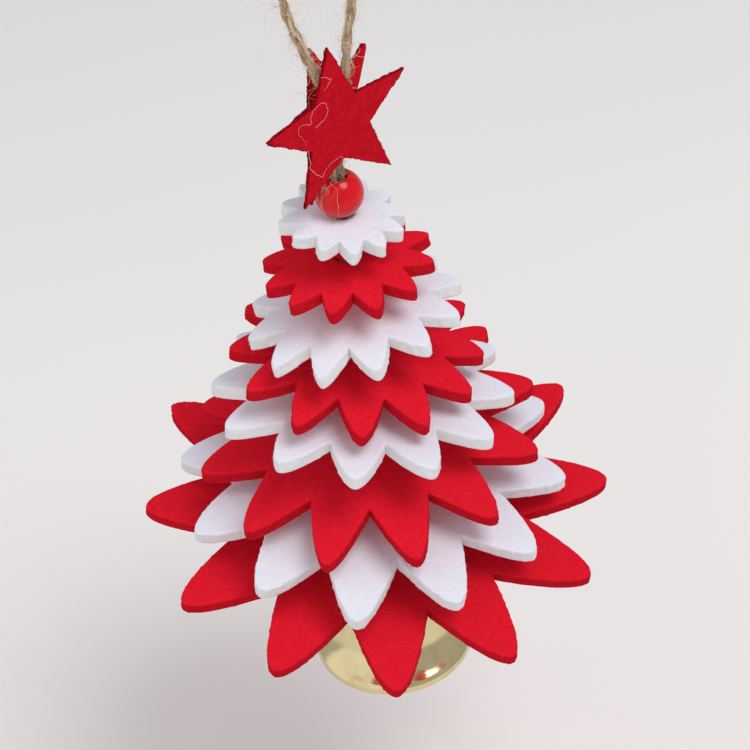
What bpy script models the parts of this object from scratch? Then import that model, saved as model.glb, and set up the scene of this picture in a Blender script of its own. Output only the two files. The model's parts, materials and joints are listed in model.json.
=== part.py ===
"""Hanging felt Christmas tree: eight petalled felt discs and wooden beads strung on a doubled
jute twine, with two felt stars at the top and a small brass bell at the bottom.

Metres, +Z up. The origin is under the top of the hanging loop, where a hook or a branch bears.
"""
import math

import bmesh
import bpy
from mathutils import Matrix, Vector

# Gaps
SEAT_GAP = 0.0003            # between pieces that rest on each other
TURN_GAP = 0.00045           # between neighbouring turns of the stop knot

# Twine
LOOP_TWINE_DIA = 0.0020      # where the twine hangs free
PULLED_TWINE_DIA = 0.0017    # where the weight of the tree draws it thin
TWINE_AZIMUTH_DEG = 40.0     # plane that holds both strands, turned from +X
STRAND_SPREAD = 0.0015       # strand to axis behind the middle of the front star
MAX_POINT_STEP = 0.0042      # longest step between two points of a tube

# Stars, cut from thin felt and glued together over the twine
STAR_RADIUS = 0.0184
STAR_THICK = 0.0014
STAR_NOTCH_RADIUS = 0.0078
STAR_POINTS = 5
STAR_DEPTH = 0.0466          # centre of the stars under the origin
FRONT_STAR_AZIMUTH_DEG = 33.5
FRONT_STAR_STANDOFF = 0.0030  # middle of the felt in front of the twine's axis
FRONT_STAR_TURN_DEG = 0.0
BACK_STAR_AZIMUTH_DEG = 46.5
BACK_STAR_STANDOFF = 0.0029
BACK_STAR_TURN_DEG = 10.5

# Dab of set glue between the stars and between the strands
GLUE_WIDTH = 0.0032
GLUE_HEIGHT = 0.0056
GLUE_SIDE = 0.0015           # middle of the dab beside the twine's axis
GLUE_RISE = 0.0084           # middle of the dab over the centre of the stars

# Beads
RED_BEAD_DIA = 0.0100
RED_BEAD_DROP = 0.0196       # its centre under the centre of the stars
SPACER_DIA = 0.0086
BORE_CLEARANCE = 0.0002      # bore to the two strands

# Felt discs, from the smallest at the top to the largest at the bottom
FELT_THICK = 0.0032
TOP_DISC_RADIUS = 0.0133
BOTTOM_DISC_RADIUS = 0.0520
HUB_RADIUS = 0.0046          # flat middle that the beads bear on
PETALS = 12
DISC_GROWTH_SHARES = (0.0, 0.13, 0.26, 0.363, 0.507, 0.643, 0.766, 1.0)
VALLEY_SHARES = (0.72, 0.69, 0.70, 0.68, 0.69, 0.66, 0.685, 0.635)
DROOP_SHARES = (0.05, 0.10, 0.17, 0.14, 0.07, 0.09, 0.085, 0.0)
DISC_TURNS_DEG = (6.4, 15.9, 8.7, 26.8, 22.6, 11.0, 20.7, 29.1)
DISC_SLOPES_DEG = (
    (-7.6, -0.3), (1.1, -3.6), (4.8, -4.8), (-7.4, 0.8),
    (-6.7, -4.2), (-0.4, 6.8), (-3.8, 6.2), (-3.9, 10.2),
)
WHITE_DISCS = (1, 3, 5, 7)
PETAL_FULLNESS = 1.06        # power of the petal's side, 1 is a parabola
PETAL_SIDE_STEPS = 4
DROOP_START_SHARE = 0.30
MID_RING_SHARE = 0.50
RINGED_DROOP_SHARE = 0.06    # a flatter disc needs no middle ring

# Stop knot, the twine wound round itself under the bottom disc
KNOT_TURNS = 2.5
KNOT_POINTS_PER_TURN = 24

# Small bight of twine under the knot, that carries the bell
BIGHT_RADIUS = 0.0022
BIGHT_DROP = 0.0054          # lowest point of the bight under the knot

# Bell
BELL_RIM_RADIUS = 0.0180
BELL_HEIGHT = 0.0270
BELL_WALL = 0.0008
BELL_LIP_HEIGHT = 0.0017
BELL_STEPS = 40
BELL_PROFILE_SHARES = (
    (0.335, 0.945), (0.490, 0.850), (0.575, 0.715), (0.620, 0.560),
    (0.665, 0.410), (0.735, 0.265), (0.850, 0.150), (0.965, 0.085),
)
BELL_SHOULDER_SHARE = 0.60   # flat top of the crown, of the first profile radius

# Wire hanger pinched through the bell's crown
HANGER_WIRE_DIA = 0.0010
HANGER_EYE_RADIUS = 0.0026   # to the middle of the wire, over the crown
HANGER_HOOK_RADIUS = 0.0020  # to the middle of the wire, inside the bell
HANGER_LEG_GAP = 0.0004
HANGER_SHOULDER = 0.0007     # length that a lobe takes to close to the legs

# Clapper
CLAPPER_WIRE_DIA = 0.0008
CLAPPER_EYE_RADIUS = 0.0016
CLAPPER_LENGTH = 0.0125      # pivot to the middle of the ball
CLAPPER_BALL_DIA = 0.0064
CLAPPER_SOCKET_DEPTH = 0.0020

# Detail of the round pieces
BEAD_STEPS = 20
BEAD_ARC_STEPS = 8
BALL_STEPS = 16
BALL_ARC_STEPS = 7
LOBE_STEPS = 12
SHARP_ANGLE_DEG = 38.0

# Route of the hanging loop in the twine's plane: along it, and down from the origin
LOOP_ROUTE = (
    (-0.0015, -0.0466), (-0.0015, -0.0436), (-0.0017, -0.0396), (-0.0022, -0.0350),
    (-0.0036, -0.0302),
    (-0.0055, -0.0246), (-0.0069, -0.0199), (-0.0079, -0.0145), (-0.0082, -0.0093),
    (-0.0068, -0.0038), (-0.0037, -0.0002), (0.0, 0.0010), (0.0040, 0.0000),
    (0.0079, -0.0035), (0.0099, -0.0090), (0.0103, -0.0147), (0.0099, -0.0200),
    (0.0089, -0.0250), (0.0077, -0.0288), (0.0067, -0.0326), (0.0061, -0.0360),
    (0.0051, -0.0390), (0.0034, -0.0418), (0.0018, -0.0442), (0.0015, -0.0466),
)

COLOURS = {
    "red_felt": ((0.60, 0.012, 0.022), 0.95, 0.0),
    "white_felt": ((0.80, 0.79, 0.84), 0.95, 0.0),
    "jute": ((0.50, 0.36, 0.21), 0.90, 0.0),
    "red_paint": ((0.58, 0.008, 0.012), 0.15, 0.0),
    "wood": ((0.56, 0.38, 0.20), 0.60, 0.0),
    "glue": ((0.80, 0.76, 0.66), 0.35, 0.0),
    "brass": ((0.80, 0.66, 0.34), 0.18, 1.0),
    "steel": ((0.60, 0.58, 0.54), 0.30, 1.0),
}


def clear_scene():
    """Remove whatever objects the file opened with."""
    for obj in list(bpy.data.objects):
        bpy.data.objects.remove(obj, do_unlink=True)


def make_material(node_name, finish):
    """Give one node its own Principled material."""
    colour, roughness, metallic = COLOURS[finish]
    material = bpy.data.materials.new(node_name + "_" + finish)
    material.use_nodes = True
    shader = material.node_tree.nodes["Principled BSDF"]
    shader.inputs["Base Color"].default_value = (*colour, 1.0)
    shader.inputs["Roughness"].default_value = roughness
    shader.inputs["Metallic"].default_value = metallic
    return material


def finish_object(name, data, finish, matrix, parent=None):
    """Link data as a named object at its place."""
    obj = bpy.data.objects.new(name, data)
    data.materials.append(make_material(name, finish))
    bpy.context.collection.objects.link(obj)
    obj.parent = parent
    obj.matrix_local = matrix
    return obj


def mesh_object(name, bm, finish, matrix, parent=None):
    """Turn a bmesh into a smooth-shaded object with crisp edges."""
    bmesh.ops.recalc_face_normals(bm, faces=bm.faces[:])
    mesh = bpy.data.meshes.new(name)
    bm.to_mesh(mesh)
    bm.free()
    mesh.shade_smooth()
    mesh.set_sharp_from_angle(angle=math.radians(SHARP_ANGLE_DEG))
    return finish_object(name, mesh, finish, matrix, parent)


def tube_object(name, points, diameter, finish, matrix, parent=None, cyclic=False, resolution=2):
    """Make a round tube along points."""
    curve = bpy.data.curves.new(name, "CURVE")
    curve.dimensions = "3D"
    curve.resolution_u = 1
    curve.render_resolution_u = 0
    curve.bevel_depth = diameter / 2
    curve.bevel_resolution = resolution
    curve.use_fill_caps = True
    spline = curve.splines.new("POLY")
    spline.points.add(len(points) - 1)
    for spline_point, point in zip(spline.points, points):
        spline_point.co = (*point, 1.0)
    spline.use_cyclic_u = cyclic
    spline.use_smooth = True
    return finish_object(name, curve, finish, matrix, parent)


def pivot_empty(name, location, parent=None):
    """Mark a joint's axis with an empty."""
    empty = bpy.data.objects.new(name, None)
    empty.empty_display_size = HANGER_EYE_RADIUS
    bpy.context.collection.objects.link(empty)
    empty.parent = parent
    empty.location = location
    return empty


def smooth_route(points, cyclic=False):
    """Read a smooth curve through hand-chosen points in steps of at most MAX_POINT_STEP."""
    count = len(points)
    spans = count if cyclic else count - 1
    result = []
    for i in range(spans):
        if cyclic:
            a, b, c, d = (points[(i + k) % count] for k in (-1, 0, 1, 2))
        else:
            a, b, c, d = (points[min(max(i + k, 0), count - 1)] for k in (-1, 0, 1, 2))
        steps = max(1, math.ceil((c - b).length / MAX_POINT_STEP))
        for k in range(steps):
            t = k / steps
            tangent_b = (c - a) / 2
            tangent_c = (d - b) / 2
            result.append(
                b * (2 * t ** 3 - 3 * t ** 2 + 1) + tangent_b * (t ** 3 - 2 * t ** 2 + t)
                + c * (3 * t ** 2 - 2 * t ** 3) + tangent_c * (t ** 3 - t ** 2)
            )
    if not cyclic:
        result.append(points[-1].copy())
    return result


def azimuth_matrix(degrees):
    """Turn about the vertical, from +X towards +Y."""
    return Matrix.Rotation(math.radians(degrees), 4, "Z")


def strand_offset():
    """Distance from the axis to the middle of a pulled strand."""
    return (PULLED_TWINE_DIA + SEAT_GAP) / 2


def pair_radius():
    """Radius of the round that holds both pulled strands."""
    return strand_offset() + PULLED_TWINE_DIA / 2


def bore_radius():
    """Radius of the bore of a bead."""
    return pair_radius() + BORE_CLEARANCE


def disc_radius(index):
    """Tip radius of a felt disc."""
    return TOP_DISC_RADIUS + (BOTTOM_DISC_RADIUS - TOP_DISC_RADIUS) * DISC_GROWTH_SHARES[index]


def disc_rotation(index):
    """Lean of a disc: its plane rises along +X and +Y by its two slopes."""
    slope_x, slope_y = (math.tan(math.radians(angle)) for angle in DISC_SLOPES_DEG[index])
    normal = Vector((-slope_x, -slope_y, 1.0)).normalized()
    return Vector((0, 0, 1)).rotation_difference(normal).to_matrix().to_4x4(), normal


def disc_lean(index):
    """Angle between a disc's normal and the twine."""
    return disc_rotation(index)[1].angle(Vector((0, 0, 1)))


def disc_hole_radius():
    """Hole that clears the strands in the disc that leans most."""
    most = max(disc_lean(i) for i in range(len(DISC_SLOPES_DEG)))
    return pair_radius() / math.cos(most) + FELT_THICK / 2 * math.tan(most) + SEAT_GAP


def seat_height(ball_radius, lean):
    """Height of a ball's centre over a leaning disc's face, where it meets the edge of the hole."""
    hole = disc_hole_radius()
    side = hole * math.sin(lean)
    return side + math.sqrt(side ** 2 - hole ** 2 + (ball_radius + SEAT_GAP) ** 2)


def star_outline():
    """Corners of a star in its own plane, point up."""
    corners = []
    for k in range(2 * STAR_POINTS):
        radius = STAR_RADIUS if k % 2 == 0 else STAR_NOTCH_RADIUS
        angle = math.pi / 2 + k * math.pi / STAR_POINTS
        corners.append(Vector((radius * math.cos(angle), 0, radius * math.sin(angle))))
    return corners


def star_matrix(azimuth, standoff, turn):
    """Place of a star: its face looks along -Y before the turn to its azimuth."""
    return (
        Matrix.Translation((0, 0, -STAR_DEPTH)) @ azimuth_matrix(azimuth)
        @ Matrix.Translation((0, -standoff, 0)) @ Matrix.Rotation(-math.radians(turn), 4, "Y")
    )


def build_star(name, azimuth, standoff, turn):
    """Extrude a star's outline to a piece of felt."""
    bm = bmesh.new()
    corners = [bm.verts.new(corner) for corner in star_outline()]
    face = bm.faces.new(corners)
    extruded = bmesh.ops.extrude_face_region(bm, geom=[face])
    moved = [item for item in extruded["geom"] if isinstance(item, bmesh.types.BMVert)]
    bmesh.ops.translate(bm, verts=moved, vec=(0, STAR_THICK, 0))
    bmesh.ops.translate(bm, verts=bm.verts[:], vec=(0, -STAR_THICK / 2, 0))
    return mesh_object(name, bm, "red_felt", star_matrix(azimuth, standoff, turn))


def build_glue():
    """Press a round dab of glue flat between the two stars."""
    bm = bmesh.new()
    bmesh.ops.create_uvsphere(bm, u_segments=BALL_STEPS, v_segments=BALL_STEPS // 2, radius=1.0)
    reach = FRONT_STAR_STANDOFF + BACK_STAR_STANDOFF
    bmesh.ops.scale(bm, vec=(GLUE_WIDTH / 2, reach, GLUE_HEIGHT / 2), verts=bm.verts[:])
    bmesh.ops.translate(bm, verts=bm.verts[:], vec=(GLUE_SIDE, 0, 0))
    bmesh.ops.rotate(
        bm, verts=bm.verts[:], cent=(0, 0, 0),
        matrix=azimuth_matrix(TWINE_AZIMUTH_DEG).to_3x3(),
    )
    half = STAR_THICK / 2 + SEAT_GAP
    front = azimuth_matrix(FRONT_STAR_AZIMUTH_DEG) @ Vector((0, -1, 0))
    back = azimuth_matrix(BACK_STAR_AZIMUTH_DEG) @ Vector((0, 1, 0))
    for normal, distance in ((front, FRONT_STAR_STANDOFF - half), (back, BACK_STAR_STANDOFF - half)):
        cut = bmesh.ops.bisect_plane(
            bm, geom=bm.verts[:] + bm.edges[:] + bm.faces[:], plane_co=normal * distance,
            plane_no=normal, clear_outer=True,
        )
        edges = [item for item in cut["geom_cut"] if isinstance(item, bmesh.types.BMEdge)]
        bmesh.ops.holes_fill(bm, edges=edges, sides=len(edges))
    matrix = Matrix.Translation((0, 0, GLUE_RISE - STAR_DEPTH))
    return mesh_object("glue_dab", bm, "glue", matrix)


def turned_object(name, profile, steps, finish, matrix, parent=None):
    """Turn a closed profile of (radius, height) pairs round the vertical."""
    bm = bmesh.new()
    verts = [bm.verts.new((radius, 0, height)) for radius, height in profile]
    edges = [bm.edges.new((verts[i], verts[(i + 1) % len(verts)])) for i in range(len(verts))]
    bmesh.ops.spin(
        bm, geom=verts + edges, cent=(0, 0, 0), axis=(0, 0, 1), dvec=(0, 0, 0),
        angle=2 * math.pi, steps=steps, use_merge=True,
    )
    return mesh_object(name, bm, finish, matrix, parent)


def build_bead(name, diameter, finish, height):
    """Drill a ball for the two strands; its centre is at height on the axis."""
    radius = diameter / 2
    bore = bore_radius()
    start = math.asin(bore / radius)
    profile = []
    for k in range(BEAD_ARC_STEPS + 1):
        angle = start + (math.pi - 2 * start) * k / BEAD_ARC_STEPS
        profile.append((radius * math.sin(angle), radius * math.cos(angle)))
    return turned_object(name, profile, BEAD_STEPS, finish, Matrix.Translation((0, 0, height)))


def petal_outline(radius, valley_radius):
    """Corners of one petal about +X, from its first valley up to the next one."""
    half_angle = math.pi / PETALS
    base = valley_radius * math.cos(half_angle)
    half_width = valley_radius * math.sin(half_angle)
    corners = []
    for k in range(-PETAL_SIDE_STEPS, PETAL_SIDE_STEPS):
        share = abs(k) / PETAL_SIDE_STEPS
        out = radius - (radius - base) * share ** 2
        side = math.copysign(half_width * share ** PETAL_FULLNESS, k)
        corners.append(Vector((out, side, 0)))
    return corners


def disc_rings(index):
    """Rings of a felt disc in its own plane, from the edge of the hole to the petals."""
    radius = disc_radius(index)
    petal = petal_outline(radius, radius * VALLEY_SHARES[index])
    turns = [azimuth_matrix(360.0 * k / PETALS) for k in range(PETALS)]
    outline = [turn @ corner for turn in turns for corner in petal]
    hub_count = 2 * PETALS
    angles = [2 * math.pi * (k / hub_count - 1 / (2 * PETALS)) for k in range(hub_count)]
    unit = [Vector((math.cos(angle), math.sin(angle), 0)) for angle in angles]
    rings = [[u * disc_hole_radius() for u in unit], [u * HUB_RADIUS for u in unit]]
    if DROOP_SHARES[index] > RINGED_DROOP_SHARE:
        rings.append([
            c.normalized() * (HUB_RADIUS + (c.length - HUB_RADIUS) * MID_RING_SHARE)
            for c in outline
        ])
    rings.append(outline)
    return rings


def droop_at(index, distance):
    """How far the felt hangs below its flat middle at a distance from the twine."""
    radius = disc_radius(index)
    start = radius * DROOP_START_SHARE
    share = max(0.0, (distance - start) / (radius - start))
    return DROOP_SHARES[index] * radius * share ** 2


def ring_faces(bm, inner, outer):
    """Join two closed rings where the outer one has as many points or a multiple of them."""
    count = len(inner)
    ratio = len(outer) // count
    for j in range(count):
        arc = [outer[(j * ratio + k) % len(outer)] for k in range(ratio + 1)]
        bm.faces.new(arc + [inner[(j + 1) % count], inner[j]])


def build_disc(index, height):
    """Build one felt disc whose middle is at height on the axis."""
    bm = bmesh.new()
    rings = disc_rings(index)
    faces = []
    for side in (FELT_THICK / 2, -FELT_THICK / 2):
        layer = []
        for ring in rings:
            lifted = [Vector((p.x, p.y, side - droop_at(index, p.length))) for p in ring]
            layer.append([bm.verts.new(point) for point in lifted])
        for inner, outer in zip(layer, layer[1:]):
            ring_faces(bm, inner, outer)
        faces.append(layer)
    ring_faces(bm, faces[0][0], faces[1][0])
    ring_faces(bm, faces[0][-1], faces[1][-1])
    rotation = disc_rotation(index)[0]
    matrix = (
        Matrix.Translation((0, 0, height)) @ rotation @ azimuth_matrix(DISC_TURNS_DEG[index])
    )
    finish = "white_felt" if index + 1 in WHITE_DISCS else "red_felt"
    return mesh_object("felt_disc_%d" % (index + 1), bm, finish, matrix)


def build_stack():
    """String the red bead, the discs and the spacer beads down the twine."""
    height = -STAR_DEPTH - RED_BEAD_DROP
    build_bead("red_bead", RED_BEAD_DIA, "red_paint", height)
    ball = RED_BEAD_DIA / 2
    count = len(DISC_SLOPES_DEG)
    for index in range(count):
        lean = disc_lean(index)
        middle = FELT_THICK / 2 / math.cos(lean)
        height -= seat_height(ball, lean) + middle
        build_disc(index, height)
        height -= middle
        ball = SPACER_DIA / 2
        if index < count - 1:
            height -= seat_height(ball, lean)
            build_bead("spacer_bead_%d" % (index + 1), SPACER_DIA, "wood", height)
    return height


def knot_radius():
    """Radius of the middle of the stop knot's turns."""
    return pair_radius() + SEAT_GAP + PULLED_TWINE_DIA / 2


def build_knot(disc_bottom):
    """Wind the stop knot under the bottom disc and return the height of its lowest point."""
    outer = knot_radius() + PULLED_TWINE_DIA / 2
    lean = disc_lean(len(DISC_SLOPES_DEG) - 1)
    top = disc_bottom - outer * math.tan(lean) - SEAT_GAP / math.cos(lean)
    pitch = PULLED_TWINE_DIA + TURN_GAP
    start = top - PULLED_TWINE_DIA / 2
    count = round(KNOT_TURNS * KNOT_POINTS_PER_TURN)
    points = []
    for k in range(count + 1):
        turn = k / KNOT_POINTS_PER_TURN
        angle = 2 * math.pi * turn
        points.append(Vector((
            knot_radius() * math.cos(angle), knot_radius() * math.sin(angle), -pitch * turn,
        )))
    print("stop knot, least gap to itself: %.5f m" % least_gap(points, PULLED_TWINE_DIA))
    matrix = Matrix.Translation((0, 0, start))
    tube_object("stop_knot", points, PULLED_TWINE_DIA, "jute", matrix, resolution=1)
    return start - pitch * KNOT_TURNS - PULLED_TWINE_DIA / 2


def least_gap(points, diameter):
    """Least free space between two stretches of a tube that lie more than half a turn apart."""
    apart = KNOT_POINTS_PER_TURN // 2
    least = min(
        (points[i] - points[j]).length
        for i in range(len(points)) for j in range(i + apart, len(points))
    )
    return least - diameter


def build_stem(knot_bottom):
    """Run the doubled twine from the stars down to its bight and return the bight's height."""
    bottom = knot_bottom - BIGHT_DROP
    centre = bottom + BIGHT_RADIUS
    top = -STAR_DEPTH - SEAT_GAP
    offset = strand_offset()
    half = [
        Vector((-STRAND_SPREAD, 0, top)),
        Vector((-STRAND_SPREAD, 0, top - 2 * PULLED_TWINE_DIA)),
        Vector((-offset, 0, -STAR_DEPTH - STAR_NOTCH_RADIUS)),
        Vector((-offset, 0, knot_bottom)),
        Vector((-BIGHT_RADIUS, 0, centre + PULLED_TWINE_DIA / 2)),
    ]
    steps = LOBE_STEPS // 2
    for k in range(1, steps):
        angle = math.pi * k / steps
        half.append(Vector((
            -BIGHT_RADIUS * math.cos(angle), 0, centre - BIGHT_RADIUS * math.sin(angle),
        )))
    mirrored = [Vector((-p.x, 0, p.z)) for p in reversed(half[:5])]
    tube_object(
        "stem_twine", smooth_route(half + mirrored), PULLED_TWINE_DIA, "jute",
        azimuth_matrix(TWINE_AZIMUTH_DEG),
    )
    return bottom


def build_loop():
    """Make the hanging loop whose two ends go in between the stars."""
    points = smooth_route([Vector((along, 0, up)) for along, up in LOOP_ROUTE])
    tube_object(
        "hanging_loop", points, LOOP_TWINE_DIA, "jute", azimuth_matrix(TWINE_AZIMUTH_DEG),
    )


def bell_outer_profile():
    """Outer side of the bell from the crown's hole down to the lip, heights over the rim."""
    first = BELL_PROFILE_SHARES[0][0] * BELL_RIM_RADIUS
    profile = [(crown_hole_radius(), BELL_HEIGHT), (first * BELL_SHOULDER_SHARE, BELL_HEIGHT)]
    profile += [(r * BELL_RIM_RADIUS, h * BELL_HEIGHT) for r, h in BELL_PROFILE_SHARES]
    profile.append((BELL_RIM_RADIUS, BELL_LIP_HEIGHT))
    return profile


def crown_hole_radius():
    """Hole of the crown, which clears both legs of the wire hanger."""
    return HANGER_LEG_GAP / 2 + HANGER_WIRE_DIA + SEAT_GAP


def offset_inwards(profile, wall):
    """Inner side of a wall: each corner moves in square to the run of the profile."""
    inner = []
    for i, (radius, height) in enumerate(profile):
        before = profile[max(i - 1, 0)]
        after = profile[min(i + 1, len(profile) - 1)]
        run = Vector((after[0] - before[0], after[1] - before[1])).normalized()
        inner.append((radius + run.y * wall, height - run.x * wall))
    return inner


def build_bell(pivot, crown_top):
    """Turn the bell's shell with an open mouth and a lip that stands upright."""
    outer = bell_outer_profile()
    inner = offset_inwards(outer, BELL_WALL)
    inner[0] = (outer[0][0], outer[0][1] - BELL_WALL)
    inner[-1] = (BELL_RIM_RADIUS - BELL_WALL, outer[-1][1] - BELL_WALL)
    profile = outer + [(BELL_RIM_RADIUS, 0), (BELL_RIM_RADIUS - BELL_WALL, 0)] + inner[::-1]
    matrix = Matrix.Translation((0, 0, crown_top - BELL_HEIGHT))
    turned_object("bell_shell", profile, BELL_STEPS, "brass", matrix, pivot)


def lobe(radius, centre, first, last):
    """Points of a wire lobe in the X-Z plane, between two angles in degrees."""
    points = []
    for k in range(LOBE_STEPS + 1):
        angle = math.radians(first + (last - first) * k / LOBE_STEPS)
        points.append(Vector((radius * math.cos(angle), 0, centre + radius * math.sin(angle))))
    return points


def hanger_eye_centre():
    """Centre of the hanger's eye over the pivot, which is the middle of the twine."""
    return PULLED_TWINE_DIA / 2 + SEAT_GAP + HANGER_WIRE_DIA / 2 - HANGER_EYE_RADIUS


def crown_height():
    """Top of the bell's crown over the pivot."""
    lobe_foot = hanger_eye_centre() - HANGER_EYE_RADIUS * math.cos(math.radians(30.0))
    return lobe_foot - HANGER_SHOULDER - HANGER_WIRE_DIA / 2


def hook_centre():
    """Centre of the hanger's inner hook over the pivot."""
    underside = crown_height() - BELL_WALL
    lobe_head = HANGER_HOOK_RADIUS * math.cos(math.radians(30.0))
    return underside - HANGER_WIRE_DIA / 2 - HANGER_SHOULDER - lobe_head


def build_hanger(pivot):
    """Bend the closed wire hanger: an eye over the crown, two legs, and a hook inside."""
    leg = (HANGER_LEG_GAP + HANGER_WIRE_DIA) / 2
    top = crown_height() + HANGER_WIRE_DIA / 2
    bottom = crown_height() - BELL_WALL - HANGER_WIRE_DIA / 2
    eye = lobe(HANGER_EYE_RADIUS, hanger_eye_centre(), -60.0, 240.0)
    hook = lobe(HANGER_HOOK_RADIUS, hook_centre(), 120.0, 420.0)
    points = eye + [Vector((-leg, 0, top)), Vector((-leg, 0, bottom))]
    points += hook + [Vector((leg, 0, bottom)), Vector((leg, 0, top))]
    matrix = azimuth_matrix(TWINE_AZIMUTH_DEG + 90.0)
    tube_object(
        "bell_hanger", smooth_route(points, cyclic=True), HANGER_WIRE_DIA, "brass", matrix,
        pivot, cyclic=True,
    )


def build_clapper(pivot):
    """Bend the clapper's wire round its pivot and set the ball on its end."""
    rise = (HANGER_WIRE_DIA + CLAPPER_WIRE_DIA) / 2 + SEAT_GAP
    centre = rise - CLAPPER_EYE_RADIUS
    eye = lobe(CLAPPER_EYE_RADIUS, centre, 255.0, -60.0)
    ball_top = -CLAPPER_LENGTH + CLAPPER_BALL_DIA / 2
    socket = CLAPPER_WIRE_DIA / 2 + SEAT_GAP
    neck = centre - CLAPPER_EYE_RADIUS - CLAPPER_WIRE_DIA
    foot = ball_top - CLAPPER_SOCKET_DEPTH + SEAT_GAP
    points = eye + [Vector((0, 0, neck - CLAPPER_WIRE_DIA)), Vector((0, 0, foot))]
    matrix = azimuth_matrix(TWINE_AZIMUTH_DEG)
    tube_object("clapper_rod", smooth_route(points), CLAPPER_WIRE_DIA, "steel", matrix, pivot)
    radius = CLAPPER_BALL_DIA / 2
    start = math.asin(socket / radius)
    profile = [(0, radius - CLAPPER_SOCKET_DEPTH), (socket, radius - CLAPPER_SOCKET_DEPTH)]
    for k in range(BALL_ARC_STEPS + 1):
        angle = start + (math.pi - start) * k / BALL_ARC_STEPS
        profile.append((radius * math.sin(angle), radius * math.cos(angle)))
    turned_ball(profile, pivot)


def turned_ball(profile, pivot):
    """Turn the clapper's ball, whose profile starts and ends on its axis."""
    bm = bmesh.new()
    verts = [bm.verts.new((radius, 0, height)) for radius, height in profile]
    edges = [bm.edges.new(pair) for pair in zip(verts, verts[1:])]
    bmesh.ops.spin(
        bm, geom=verts + edges, cent=(0, 0, 0), axis=(0, 0, 1), dvec=(0, 0, 0),
        angle=2 * math.pi, steps=BALL_STEPS, use_merge=True,
    )
    bmesh.ops.remove_doubles(bm, verts=bm.verts[:], dist=SEAT_GAP / 10)
    matrix = Matrix.Translation((0, 0, -CLAPPER_LENGTH))
    mesh_object("clapper_ball", bm, "steel", matrix, pivot)


def main():
    """Build the whole ornament from the loop down."""
    clear_scene()
    build_loop()
    build_star("front_star", FRONT_STAR_AZIMUTH_DEG, FRONT_STAR_STANDOFF, FRONT_STAR_TURN_DEG)
    build_star("back_star", BACK_STAR_AZIMUTH_DEG, -BACK_STAR_STANDOFF, BACK_STAR_TURN_DEG)
    build_glue()
    disc_bottom = build_stack()
    knot_bottom = build_knot(disc_bottom)
    bight = build_stem(knot_bottom)
    bell_pivot = pivot_empty("bell_pivot", (0, 0, bight))
    build_hanger(bell_pivot)
    build_bell(bell_pivot, crown_height())
    hook_bottom = hook_centre() - HANGER_HOOK_RADIUS
    clapper_pivot = pivot_empty("clapper_pivot", (0, 0, hook_bottom), bell_pivot)
    build_clapper(clapper_pivot)
    bpy.context.view_layer.update()


main()
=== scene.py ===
"""Looks of a hanging felt tree: petalled felt discs and beads on a doubled jute twine, with two
felt stars at the top and a small brass bell below.

Metres, +Z up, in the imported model's own frame. The origin is under the top of the hanging loop.
"""
import json
import logging
import math
import random
from dataclasses import dataclass, field
from enum import Enum
from functools import cache, partial
from typing import Optional, Sequence

import bmesh
import bpy
from mathutils import Matrix, Vector, noise


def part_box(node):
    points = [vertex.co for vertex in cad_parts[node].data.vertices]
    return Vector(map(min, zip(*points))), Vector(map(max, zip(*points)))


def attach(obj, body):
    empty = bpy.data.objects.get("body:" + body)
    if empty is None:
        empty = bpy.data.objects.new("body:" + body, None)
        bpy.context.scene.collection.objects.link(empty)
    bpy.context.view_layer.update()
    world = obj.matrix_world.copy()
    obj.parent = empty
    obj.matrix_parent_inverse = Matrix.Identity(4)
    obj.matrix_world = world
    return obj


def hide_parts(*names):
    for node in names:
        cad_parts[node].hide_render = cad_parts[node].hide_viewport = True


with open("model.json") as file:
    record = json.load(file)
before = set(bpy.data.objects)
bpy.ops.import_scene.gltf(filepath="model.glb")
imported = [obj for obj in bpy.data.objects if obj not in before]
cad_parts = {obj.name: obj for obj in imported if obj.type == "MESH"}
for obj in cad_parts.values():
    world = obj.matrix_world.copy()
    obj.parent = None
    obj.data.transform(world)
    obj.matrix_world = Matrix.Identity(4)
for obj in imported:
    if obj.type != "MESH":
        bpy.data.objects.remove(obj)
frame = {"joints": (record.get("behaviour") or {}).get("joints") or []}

LOG = logging.getLogger("felt_tree")
Colour = tuple[float, float, float]
UP = Vector((0.0, 0.0, 1.0))

# Sizes that several pieces share
SEAT_GAP = 0.0003
PULLED_TWINE_DIA = 0.0017
TWINE_AZIMUTH_DEG = 40.0
STRAND_SPREAD = 0.0015
STAR_DEPTH = 0.0466
STAR_THICK = 0.0010
FRONT_STAR_AZIMUTH_DEG = 33.5
FRONT_STAR_STANDOFF = 0.0030
STRAND_OFFSET = (PULLED_TWINE_DIA + SEAT_GAP) / 2
PAIR_RADIUS = STRAND_OFFSET + PULLED_TWINE_DIA / 2
BORE_RADIUS = PAIR_RADIUS + 0.0002
DISC_HOLE_RADIUS = 0.00254
HANGER_WIRE_DIA = 0.0010
RED_BEAD_DIA = 0.0104
RED_BEAD_RISE = 0.0001
SPACER_BEAD_DIA = 0.0086
DISC_COUNT = 8


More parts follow.
